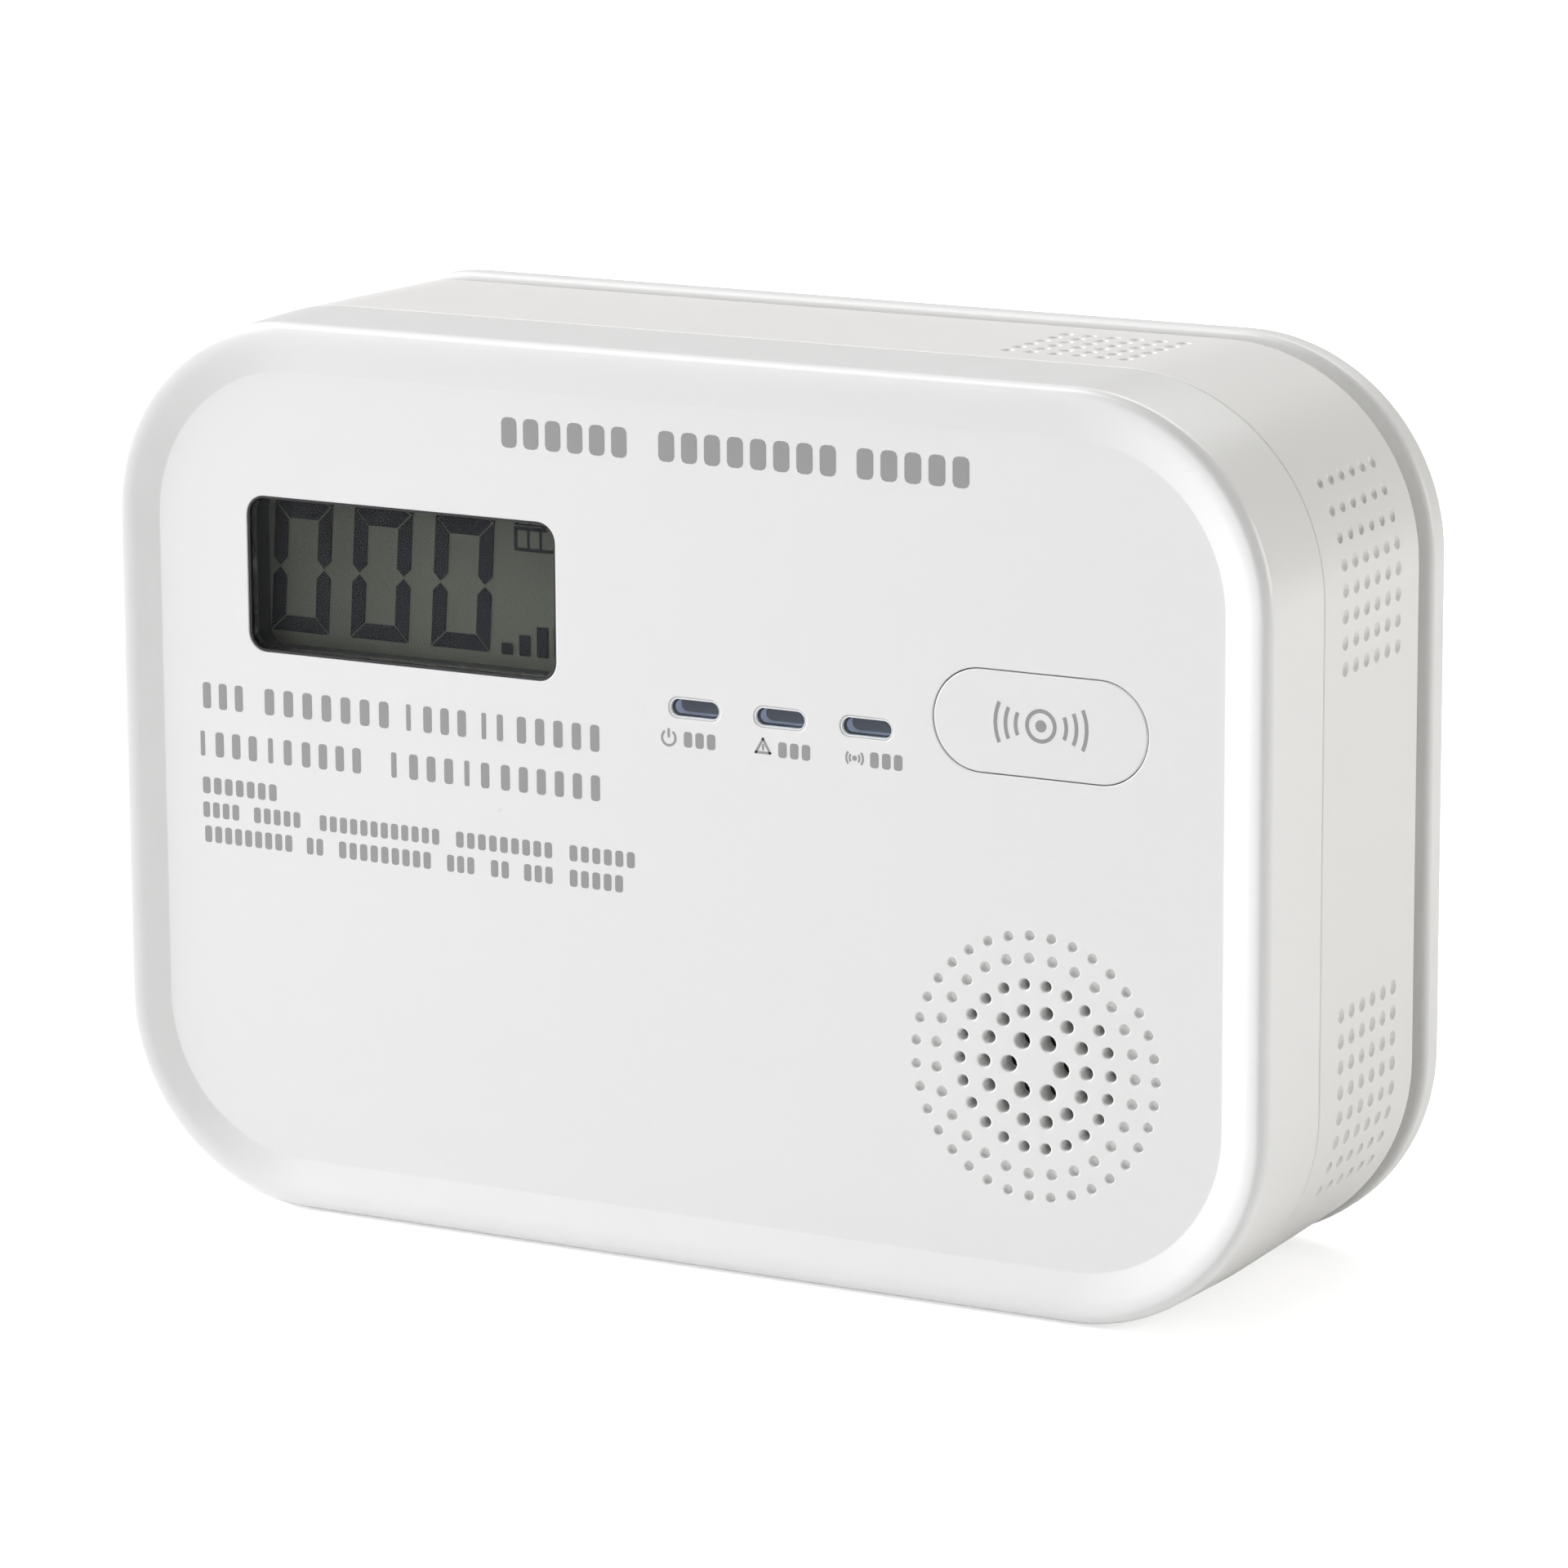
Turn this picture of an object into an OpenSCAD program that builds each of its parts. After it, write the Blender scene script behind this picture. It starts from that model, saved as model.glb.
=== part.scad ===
// Battery carbon monoxide detector: an assembly of separate pieces.
// +X is to the right, +Y towards the wall and +Z up. The origin is at the middle of the base.
// Inside the modules, depth is counted from the flat face towards the wall, and height from the
// middle of the case.

/* [Case] */
// Width at the joint between the two covers
case_w = 120; // [118:0.5:124]
// Height at the joint between the two covers
case_h = 85; // [85:0.5:90]
// Radius of the case's corners
corner_r = 19.5; // [18:0.5:20]
// Depth of the joint line behind the flat face
joint_d = 10; // [10:0.1:10.4]
// Depth of the rear cover's back edge
rear_d = 31.4; // [31.2:0.1:32]
// Depth of the wall plate's back face
plate_d = 37; // [36.5:0.1:38.5]
// How far the covers narrow from the joint line to their ends
draft = 0.4; // [0.2:0.1:0.6]
// Thickness of the covers' side walls
wall = 2.2; // [2:0.1:2.4]
// Thickness of the flat face
face_t = 2; // [1.8:0.1:2]

/* [Rim] */
// Width of the raised rim around the flat face
rim_w = 4.7; // [4:0.1:6]
// Height of the rim above the flat face
rim_h = 0.8; // [0.6:0.1:1.2]
// Width of the rounded outer edge
rim_edge = 1; // [0.6:0.1:1.4]

/* [Display] */
// Width of the display opening
display_w = 33.5; // [32:0.5:34]
// Height of the display opening
display_h = 15; // [14:0.5:15]
// Display centre, to the right of the middle
display_x = -28.8; // [-29.5:0.1:-28]
// Display centre, above the middle
display_z = 18.4; // [17.8:0.1:18.6]
// Depth of the display glass
glass_d = 3.6; // [3.4:0.1:3.8]

/* [Lights] */
// Width of a light window
light_w = 5.4; // [5:0.1:6]
// Height of a light window
light_h = 2; // [1.8:0.1:2.4]
// First light's centre, to the right of the middle
light_x = 2.3; // [2:0.1:3]
// Distance from one light to the next
light_pitch = 8.8; // [8.4:0.1:9]
// Height of the lights above the middle
light_z = 9.95; // [9:0.05:11]

/* [Button] */
// Width of the button opening
button_w = 21.3; // [20:0.1:22]
// Height of the button opening
button_h = 9.5; // [9:0.1:10]
// Button centre, to the right of the middle
button_x = 37.2; // [36.5:0.1:37.5]
// Button centre, above the middle
button_z = 11.75; // [11:0.05:12]
// Gap around the button
button_gap = 0.15; // [0.1:0.05:0.25]
// How far the button travels
button_travel = 0.8; // [0.4:0.1:1]

/* [Grille] */
// Grille centre, to the right of the middle
grille_x = 36.8; // [36:0.1:37]
// Grille centre, above the middle
grille_z = -19.2; // [-20:0.1:-18.5]
// Radius of the outermost ring of holes
grille_r = 11.95; // [11:0.05:12.1]

/* [Dimples] */
// Diameter of the dimples in the sides
dimple_dia = 1.25; // [1:0.05:1.5]
// Distance from one dimple to the next
dimple_pitch = 2.36; // [2.2:0.01:2.4]
// Depth of the first column of dimples behind the flat face
dimple_d = 14.6; // [14:0.1:15]
// How far the dimples go into the wall
dimple_deep = 0.9; // [0.5:0.1:1.2]

/* [Battery bay] */
// Diameter of a battery cell
cell_dia = 14.5; // [13.5:0.1:14.5]
// Length of a battery cell without its nub
cell_len = 49.2; // [48.5:0.1:49.2]
// Distance from one cell's axis to the next
cell_pitch = 15.4; // [15:0.1:15.5]
// Width of the bay between its contacts' walls
bay_w = 56.6; // [56.4:0.1:57]
// Height of the bay
bay_h = 46.8; // [46.6:0.1:47]

/* [Wall plate] */
// Gap between the rear cover's back edge and the wall plate
shadow_gap = 2; // [1.9:0.1:2.1]
// Width of the window in the wall plate
window_w = 68; // [66:1:70]
// Distance between the two screw slots
slot_spacing = 92; // [90:1:94]
// Distance between the two round screw holes
hole_spacing = 71; // [70:0.5:72]
// Diameter of the screw holes and width of the slots
screw_hole_dia = 4.4; // [4:0.1:4.6]
// Length of the screw slots from end to end
slot_len = 9; // [8:0.5:10]

/* [Hidden] */
$fn = 48;
hull_fn = 40;
clear = 0.05;
eps = 0.02;
board_d = 9;
board_t = 1.6;
board_w = 108;
board_h = 74;
board_back = board_d + board_t;
back_t = 2;
neck_d = rear_d + shadow_gap - 0.2;
plate_front = rear_d + shadow_gap;
face_inset = draft / 2 + rim_w;
cavity_inset = wall + draft;
center_d = (plate_d - rim_h) / 2;
bay_floor = 16;
bay_wall = 1.6;
cell_d = neck_d - 2.4 - cell_dia / 2;
nub_len = 1.3;
contact_t = 0.4;
door_t = 2;
door_w = bay_w + 3.4;
hinge_d = neck_d - 1.3;
hinge_z = -24.6;
hinge_r = 1;
knuckle_r = 1.3;
door_top = 24.6;
snap_x = 46;
snap_z = 20;
button_stem_end = 3.9;
switch_front = 5.2;
case_screw_spots = [[-46, 32.5], [46, 32.5], [-46, -32.5], [14, -33.5]];
board_screw_spots = [[-48.5, -12], [4, 31], [51, 1.5]];
grille_counts = [6, 14, 22, 27, 35];
grille_dias = [1.5, 1.2, 1, 1, 0.9];
grille_shares = [0.217, 0.428, 0.63, 0.828, 1];
grille_through = 3;
sensor_x = 43;
sensor_z = -14;
shell_white = [0.91, 0.91, 0.91];
dark_grey = [0.16, 0.16, 0.17];
metal_grey = [0.76, 0.77, 0.78];

// Moves from face depth and case height to the row's own frame
module in_case() {
    translate([0, -center_d, case_h / 2]) children();
}

// A rounded rectangle
module rounded(w, h, r) {
    square([w - 2 * r, h], center = true);
    square([w, h - 2 * r], center = true);
    for (x = [-1, 1], z = [-1, 1])
        translate([x * (w / 2 - r), z * (h / 2 - r)]) circle(r);
}

// A shape drawn in X and Z, standing between two depths
module between(d0, d1) {
    translate([0, d1, 0]) rotate([90, 0, 0]) linear_extrude(d1 - d0) children();
}

// A plate with the case's outline, drawn in by an inset
module outline(inset, d0, d1) {
    between(d0, d1) rounded(case_w - 2 * inset, case_h - 2 * inset, corner_r - inset);
}

// A thin copy of the case's outline, for hulls
module outline_edge(inset, d) {
    outline(inset, d, d + eps, $fn = hull_fn);
}

// A round bar or hole along the depth
module rod(x, z, r, d0, d1) {
    translate([x, d1, z]) rotate([90, 0, 0]) cylinder(h = d1 - d0, r = r);
}

// A block between two depths, centred on a spot
module block(x, z, w, h, d0, d1) {
    translate([x - w / 2, d0, z - h / 2]) cube([w, d1 - d0, h]);
}

// A plate with two round ends
module stadium(x, z, w, h, d0, d1) {
    translate([x, 0, z]) between(d0, d1) {
        square([w - h, h], center = true);
        for (side = [-1, 1]) translate([side * (w - h) / 2, 0]) circle(h / 2);
    }
}

// A rounded plate centred on a spot
module pad(x, z, w, h, r, d0, d1) {
    translate([x, 0, z]) between(d0, d1) rounded(w, h, r);
}

// The holes and dimples of the grille
module grille_holes() {
    for (ring = [0 : len(grille_counts) - 1])
        for (k = [0 : grille_counts[ring] - 1]) {
            turn = 360 * k / grille_counts[ring];
            r = grille_r * grille_shares[ring];
            depth = ring < grille_through ? face_t + 1 : 0.5;
            rod(
                grille_x + r * cos(turn), grille_z + r * sin(turn),
                grille_dias[ring] / 2, -1, depth, $fn = 16
            );
        }
}

module front_cover() {
    color(shell_white) in_case() difference() {
        union() {
            difference() {
                hull() {
                    outline_edge(draft / 2 + rim_edge, -rim_h);
                    outline_edge(draft / 2, rim_edge - rim_h);
                    outline_edge(0, joint_d - eps);
                }
                hull() {
                    outline_edge(face_inset, -eps);
                    outline_edge(draft / 2 + 1.3 * rim_edge, -rim_h - eps);
                }
                outline(wall, face_t, joint_d + 1);
                outline(wall / 2, joint_d - 2, joint_d + 1);
            }
            for (spot = case_screw_spots) rod(spot[0], spot[1], 3, face_t - 0.1, board_d);
            for (spot = board_screw_spots) rod(spot[0], spot[1], 2.5, face_t - 0.1, board_d);
        }
        for (spot = case_screw_spots) rod(spot[0], spot[1], 1.27, 4, board_d + 1);
        for (spot = board_screw_spots) rod(spot[0], spot[1], 1.02, 5, board_d + 1);
        pad(display_x, display_z, display_w, display_h, 1.9, -1, face_t + 1);
        for (k = [0 : 2])
            stadium(light_x + k * light_pitch, light_z, light_w, light_h, -1, face_t + 1);
        stadium(button_x, button_z, button_w, button_h, -1, face_t + 1);
        grille_holes();
    }
}

// How far right the case's side is at a height, with its corners
function side_x(z) =
    let (past = max(0, abs(z) - (case_h / 2 - corner_r)))
    case_w / 2 - corner_r + sqrt(corner_r * corner_r - past * past);

// Dimples in both sides and in the top
module dimples() {
    for (side = [-1, 1], top_row = [32.9, -15.1], row = [0 : 7], column = [0 : 5]) {
        z = top_row - row * dimple_pitch;
        translate([side * side_x(z), dimple_d + column * dimple_pitch, z])
            rotate([0, 90, 0]) cylinder(h = 2 * dimple_deep, d = dimple_dia, center = true, $fn = 16);
    }
    for (row = [0 : 5], column = [0 : 5])
        translate([26.5 + row * dimple_pitch, dimple_d + column * dimple_pitch, case_h / 2])
            cylinder(h = 2 * dimple_deep, d = dimple_dia, center = true, $fn = 16);
}

module rear_cover() {
    color(shell_white) in_case() difference() {
        union() {
            difference() {
                union() {
                    hull() {
                        outline_edge(0, joint_d);
                        outline_edge(draft, rear_d - draft);
                        outline_edge(2 * draft, rear_d - eps);
                    }
                    outline(3.2, rear_d - 1, neck_d);
                    outline(wall / 2 + clear, joint_d - 2 + clear, joint_d + 1);
                }
                outline(cavity_inset, joint_d - 3, rear_d - back_t);
            }
            block(0, -0.6, door_w + 6.4, bay_h + 7.2, bay_floor - bay_wall, neck_d);
            for (spot = case_screw_spots) rod(spot[0], spot[1], 3.75, board_back, rear_d);
        }
        block(0, 0, bay_w, bay_h, bay_floor, neck_d + 1);
        translate([-door_w / 2 - 0.3, neck_d - door_t, hinge_z - knuckle_r - 0.3])
            cube([door_w + 0.6, 4, door_top - hinge_z + knuckle_r + 0.6]);
        hinge_line(door_w / 2 + 0.3, knuckle_r + 0.2);
        hinge_line(door_w / 2 + 1.6, hinge_r + clear);
        stadium(0, door_top + 1.2, 14, 5, neck_d - 1.2, neck_d + 1);
        for (x = [-snap_x, snap_x], z = [-snap_z, snap_z])
            block(x, z, 8.8, 2.4, rear_d - back_t - 1, neck_d + 1);
        for (spot = case_screw_spots) {
            rod(spot[0], spot[1], 2.8, 14, neck_d + 1);
            rod(spot[0], spot[1], 1.45, board_back - 1, 15);
        }
        dimples();
    }
    color(shell_white) in_case() for (z = [-cell_pitch / 2, cell_pitch / 2])
        block(0, z, bay_w - 12, 0.8, bay_floor - 0.1, bay_floor + 2.4);
}

// A bar along the battery door's hinge line, centred
module hinge_line(half_w, r) {
    translate([-half_w, hinge_d, hinge_z]) rotate([0, 90, 0]) cylinder(h = 2 * half_w, r = r);
}

module battery_door() {
    color(shell_white) in_case() {
        difference() {
            union() {
                translate([-door_w / 2, neck_d - door_t, hinge_z])
                    cube([door_w, door_t, door_top - hinge_z]);
                hinge_line(door_w / 2, knuckle_r);
                hinge_line(door_w / 2 + 1.4, hinge_r);
            }
            for (x = [-7, 7]) block(x, door_top - 4.5, 0.8, 9, neck_d - 3, neck_d + 1);
            for (k = [0 : 3]) block(0, door_top - 3 - 1.6 * k, 10, 0.6, neck_d - 0.4, neck_d + 1);
        }
        for (x = [-15, 15]) block(x, 0, 1.2, 36, neck_d - door_t - 0.35, neck_d - door_t + 0.1);
    }
}

module wall_plate() {
    window_h = bay_h + 11;
    color(shell_white) in_case() {
        difference() {
            outline(0, plate_front, plate_d);
            pad(0, -0.8, window_w, window_h, 4, plate_front - 1, plate_d + 1);
            difference() {
                outline(3, plate_d - 1.6, plate_d + 1);
                pad(0, -0.8, window_w + 5, window_h + 5, 6, plate_d - 2, plate_d + 2);
                for (x = [-slot_spacing / 2, slot_spacing / 2])
                    stadium(x, 0, slot_len + 7, screw_hole_dia + 7, plate_d - 2, plate_d + 2);
                for (z = [-hole_spacing / 2, hole_spacing / 2])
                    rod(0, z, screw_hole_dia / 2 + 3, plate_d - 2, plate_d + 2);
            }
            for (x = [-slot_spacing / 2, slot_spacing / 2])
                stadium(x, 0, slot_len, screw_hole_dia, plate_front - 1, plate_d + 1);
            for (z = [-hole_spacing / 2, hole_spacing / 2])
                rod(0, z, screw_hole_dia / 2, plate_front - 1, plate_d + 1);
        }
        for (x = [-snap_x, snap_x], z = [-snap_z, snap_z])
            block(x, z, 8, 1.6, rear_d - back_t - 1.6, plate_front + 0.1);
    }
}

module test_button() {
    color(shell_white) in_case() {
        stadium(
            button_x, button_z, button_w - 2 * button_gap, button_h - 2 * button_gap,
            0, face_t + 0.3
        );
        stadium(button_x, button_z, button_w + 2.6, button_h + 2.6, face_t + clear, face_t + 1);
        rod(button_x, button_z, 2.5, face_t + 0.9, button_stem_end);
    }
}

module switch_plunger() {
    color(dark_grey) in_case()
        rod(button_x, button_z, 1.7, button_stem_end, switch_front + 1.2);
}

module switch_body() {
    color(dark_grey) in_case() difference() {
        block(button_x, button_z, 7, 7, switch_front, board_d);
        rod(button_x, button_z, 1.77, switch_front - 1, switch_front + 1.4 + button_travel);
    }
}

module display_window() {
    color([0.85, 0.9, 0.9, 0.35]) in_case()
        pad(display_x, display_z, display_w - 0.8, display_h - 0.8, 1.5, 0.25, 1.45);
}

module display_frame() {
    color(dark_grey) in_case() difference() {
        union() {
            pad(display_x, display_z, display_w - 0.1, display_h - 0.1, 1.85, 0.15, glass_d);
            pad(display_x, display_z, 43, 21.6, 1.5, face_t + clear, board_d - clear);
        }
        pad(display_x, display_z, display_w - 0.7, display_h - 0.7, 1.55, 0, glass_d + 1);
        block(display_x, display_z, 40.6, 19.8, glass_d, board_d + 1);
    }
}

module display_glass() {
    color([0.33, 0.35, 0.32]) in_case()
        block(display_x, display_z, 40.4, 19.6, glass_d + clear, glass_d + 2.2);
}

module display_reflector() {
    color([0.8, 0.82, 0.8]) in_case()
        block(display_x, display_z, 40.4, 19.6, glass_d + 2.25, glass_d + 2.65);
}

module connector_strip() {
    color([0.85, 0.75, 0.75]) in_case()
        block(display_x, display_z - 8.3, 36, 2.2, glass_d + 2.7, board_d - clear);
}

// The clear pipe that carries one light to the face
module light_pipe(k) {
    color([0.8, 0.82, 0.85, 0.5]) in_case() {
        stadium(light_x + k * light_pitch, light_z, light_w - 0.1, light_h - 0.1, 0.1, 7.2);
        stadium(light_x + k * light_pitch, light_z, light_w + 1.8, light_h + 1.8,
            face_t + clear, face_t + 1);
    }
}

// One indicator light on the circuit board
module led(k) {
    color([0.95, 0.93, 0.8]) in_case() {
        block(light_x + k * light_pitch, light_z, 3.2, 1.6, board_d - 0.7, board_d);
        block(light_x + k * light_pitch, light_z, 2, 1.4, board_d - 1.2, board_d - 0.65);
    }
}

module circuit_board() {
    color([0.1, 0.4, 0.2]) in_case() difference() {
        pad(0, 0, board_w, board_h, 14, board_d, board_back);
        for (spot = case_screw_spots) rod(spot[0], spot[1], 1.6, board_d - 1, board_back + 1);
        for (spot = board_screw_spots) rod(spot[0], spot[1], 1.2, board_d - 1, board_back + 1);
    }
}

module sounder_housing() {
    color(dark_grey) in_case() difference() {
        rod(grille_x, grille_z, 14.4, face_t + clear, board_d - clear);
        rod(grille_x, grille_z, 12.6, face_t - 1, board_d + 1);
        rod(grille_x, grille_z, 13.6, 5.5, board_d + 1);
    }
}

module sounder_disc() {
    color([0.8, 0.66, 0.32]) in_case() {
        rod(grille_x, grille_z, 13.5, 5.5, 5.8);
        rod(grille_x, grille_z, 9.5, 5.75, 6.05);
    }
}

module grille_screen() {
    color([0.2, 0.2, 0.2]) in_case() rod(grille_x, grille_z, 12.5, face_t + clear, face_t + 0.25);
}

module sensor_can() {
    color(metal_grey) in_case() {
        rod(sensor_x, sensor_z, 8, board_back + 0.6, board_back + 14);
        rod(sensor_x, sensor_z, 9, board_back + 0.6, board_back + 1.8);
        for (turn = [90, 210, 330])
            rod(sensor_x + 5 * cos(turn), sensor_z + 5 * sin(turn), 0.5, board_back, board_back + 0.7);
    }
}

module sensor_filter() {
    color([0.25, 0.25, 0.27]) in_case() difference() {
        rod(sensor_x, sensor_z, 6.5, board_back + 14, board_back + 16);
        for (k = [0 : 5]) rod(sensor_x + 3.5 * cos(60 * k), sensor_z + 3.5 * sin(60 * k), 0.8,
            board_back + 14.8, board_back + 17);
    }
}

module microcontroller() {
    color(dark_grey) in_case() {
        block(-8, -4, 10, 10, board_back + 0.1, board_back + 1.5);
        for (side = [-1, 1], k = [-3.5 : 1 : 3.5]) {
            block(-8 + side * 5.6, -4 + k * 1.15, 1.6, 0.45, board_back, board_back + 0.3);
            block(-8 + k * 1.15, -4 + side * 5.6, 0.45, 1.6, board_back, board_back + 0.3);
        }
    }
}

module driver_chip() {
    color(dark_grey) in_case() {
        block(14, -10, 5, 4, board_back + 0.1, board_back + 1.6);
        for (side = [-1, 1], k = [-1.5 : 1 : 1.5])
            block(14 + k * 1.27, -10 + side * 2.5, 0.45, 1.6, board_back, board_back + 0.3);
    }
}

module capacitor() {
    color([0.2, 0.24, 0.4]) in_case() {
        rod(-41, -20, 4, board_back, board_back + 11);
        rod(-41, -20, 3.6, board_back + 10.9, board_back + 11.4);
    }
}

module inductor() {
    color([0.35, 0.3, 0.27]) in_case() translate([-42, board_back, 8]) rotate([-90, 0, 0])
        rotate_extrude()
            polygon([[0, 0], [4.5, 0], [4.5, 1], [3.6, 1], [3.6, 5], [4.5, 5], [4.5, 6], [0, 6]]);
}

// A pan-head screw that points towards the face
module screw(spot, shank_r, head_r, head_h, tip_d, seat_d) {
    difference() {
        union() {
            rod(spot[0], spot[1], shank_r, tip_d, seat_d + head_h / 2);
            rod(spot[0], spot[1], head_r, seat_d, seat_d + head_h);
        }
        for (size = [[2 * shank_r, 0.6], [0.6, 2 * shank_r]])
            block(spot[0], spot[1], size[0], size[1], seat_d + head_h - 0.8, seat_d + head_h + 1);
    }
}

module case_screws() {
    color(metal_grey) in_case()
        for (spot = case_screw_spots) screw(spot, 1.25, 2.5, 1.9, 4.5, 14);
}

module board_screws() {
    color(metal_grey) in_case()
        for (spot = board_screw_spots) screw(spot, 1, 2, 1.4, 5.5, board_back);
}

// Each cell is turned end for end from the one above it
function cell_z(k) = (k - 1) * cell_pitch;
function cell_turn(k) = k % 2 == 0 ? 0 : 1;

// Puts a piece at one cell's place, with the cell's nub towards +X
module at_cell(k) {
    in_case() translate([0, cell_d, cell_z(k)]) mirror([cell_turn(k), 0, 0]) children();
}

module battery_cell(k) {
    nub_end = bay_w / 2 - contact_t;
    color([0.3, 0.32, 0.34]) at_cell(k) rotate([0, 90, 0]) {
        translate([0, 0, nub_end - nub_len - cell_len]) cylinder(h = cell_len, d = cell_dia);
        translate([0, 0, nub_end - nub_len - 0.1]) cylinder(h = nub_len + 0.1, d = 5.4);
    }
}

module contact_plate(k) {
    color(metal_grey) at_cell(k)
        translate([bay_w / 2 - contact_t, -6, -5]) cube([contact_t, 12, 10]);
}

module contact_spring(k) {
    reach = bay_w - 2 * contact_t - nub_len - cell_len;
    color(metal_grey) at_cell(k) translate([-bay_w / 2, 0, 0]) {
        translate([0, -6, -5]) cube([contact_t, 12, 10]);
        translate([contact_t - 0.1, 0, 0]) rotate([0, 90, 0])
            linear_extrude(reach + 0.1, twist = -1080, scale = 0.6, slices = 60, segments = 8, $fn = 8)
                translate([4, 0]) circle(0.45, $fn = 8);
    }
}

front_cover();
rear_cover();
wall_plate();
battery_door();
test_button();
display_window();
display_frame();
display_glass();
display_reflector();
connector_strip();
light_pipe(0);  // light_pipe_power
light_pipe(1);  // light_pipe_fault
light_pipe(2);  // light_pipe_alarm
led(0);  // led_power
led(1);  // led_fault
led(2);  // led_alarm
circuit_board();
switch_body();
switch_plunger();
sounder_housing();
sounder_disc();
grille_screen();
sensor_can();
sensor_filter();
microcontroller();
driver_chip();
capacitor();
inductor();
board_screws();
case_screws();
contact_plate(0);  // contact_plate_1
contact_plate(1);  // contact_plate_2
contact_plate(2);  // contact_plate_3
contact_spring(0);  // contact_spring_1
contact_spring(1);  // contact_spring_2
contact_spring(2);  // contact_spring_3
battery_cell(0);  // battery_cell_1
battery_cell(1);  // battery_cell_2
battery_cell(2);  // battery_cell_3
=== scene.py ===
# Looks of a battery carbon monoxide detector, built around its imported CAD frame.
import math

import bmesh
import bpy
from mathutils import Matrix, Vector


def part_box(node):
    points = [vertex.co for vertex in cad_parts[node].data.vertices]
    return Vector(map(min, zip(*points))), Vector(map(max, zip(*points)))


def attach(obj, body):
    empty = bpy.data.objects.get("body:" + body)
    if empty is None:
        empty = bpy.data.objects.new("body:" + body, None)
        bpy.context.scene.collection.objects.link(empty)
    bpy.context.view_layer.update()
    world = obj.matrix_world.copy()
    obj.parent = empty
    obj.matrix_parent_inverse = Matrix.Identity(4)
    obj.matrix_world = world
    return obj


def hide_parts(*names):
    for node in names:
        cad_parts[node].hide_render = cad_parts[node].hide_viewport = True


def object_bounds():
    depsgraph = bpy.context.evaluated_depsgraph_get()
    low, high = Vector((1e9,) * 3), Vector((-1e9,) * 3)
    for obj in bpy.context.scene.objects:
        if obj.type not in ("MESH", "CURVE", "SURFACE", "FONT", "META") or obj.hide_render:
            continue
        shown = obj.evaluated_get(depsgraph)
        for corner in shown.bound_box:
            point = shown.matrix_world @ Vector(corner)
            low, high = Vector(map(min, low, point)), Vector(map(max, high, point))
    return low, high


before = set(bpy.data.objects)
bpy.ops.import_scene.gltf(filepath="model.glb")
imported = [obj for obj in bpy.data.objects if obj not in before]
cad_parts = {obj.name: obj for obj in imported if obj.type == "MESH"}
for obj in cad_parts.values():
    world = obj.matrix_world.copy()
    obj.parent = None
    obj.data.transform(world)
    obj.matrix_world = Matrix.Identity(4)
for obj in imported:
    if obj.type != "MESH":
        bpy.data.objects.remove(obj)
cad_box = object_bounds()

# ---- Studio ------------------------------------------------------------------------------------
# The detector stands on a plain white floor, in front of a white room. The strongest soft light is
# at its left. Weaker ones above, in front and behind keep the other sides almost as pale.

CAMERA_SPOT = Vector((0.31191, -0.56283, 0.18378))
CAMERA_AIM = Vector((0.01149, -0.0181, 0.04649))
CAMERA_LENS = 162.79
CAMERA_ROLL = -0.322
FLOOR_SIZE = 6.0
FLOOR_GLOW = 0.6
ROOM_LIGHT = 0.03
LAMP_SIZE = 0.9

scene = bpy.context.scene
scene.view_settings.view_transform = "Standard"

camera = bpy.data.objects.new("camera", bpy.data.cameras.new("camera"))
scene.collection.objects.link(camera)
camera.data.lens = CAMERA_LENS
camera.data.sensor_width = 36
level = (CAMERA_AIM - CAMERA_SPOT).to_track_quat("-Z", "Y").to_matrix().to_4x4()
camera.matrix_world = (
    Matrix.Translation(CAMERA_SPOT) @ level @ Matrix.Rotation(math.radians(CAMERA_ROLL), 4, "Z")
)
scene.camera = camera


def soft_light(name, direction, distance, power, colour=(1, 1, 1)):
    """A square softbox that faces the middle of the detector."""
    lamp = bpy.data.lights.new(name, "AREA")
    lamp.color = colour
    lamp.shape = "SQUARE"
    lamp.size = LAMP_SIZE
    lamp.energy = power
    light = bpy.data.objects.new(name, lamp)
    scene.collection.objects.link(light)
    away = Vector(direction).normalized()
    middle = Vector((0, 0, (cad_box[0].z + cad_box[1].z) / 2))
    turn = away.to_track_quat("Z", "Y").to_matrix().to_4x4()
    light.matrix_world = Matrix.Translation(middle + away * distance) @ turn


soft_light("left_side", (-1.0, -0.1, 0.25), 1.6, 44, (0.98, 0.965, 1.0))
soft_light("left_top", (-0.6, -0.25, 0.9), 1.6, 13)
soft_light("top_front", (-0.1, -0.45, 1.0), 1.6, 3)
soft_light("front_left", (-0.55, -0.9, 0.25), 1.8, 3.5)
soft_light("front_right", (0.7, -0.8, 0.3), 1.8, 1.5)
soft_light("top_back", (0.0, 0.7, 0.8), 1.6, 9)
soft_light("right_back", (1.0, 0.4, 0.2), 1.6, 13, (1.0, 0.985, 0.945))

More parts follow.
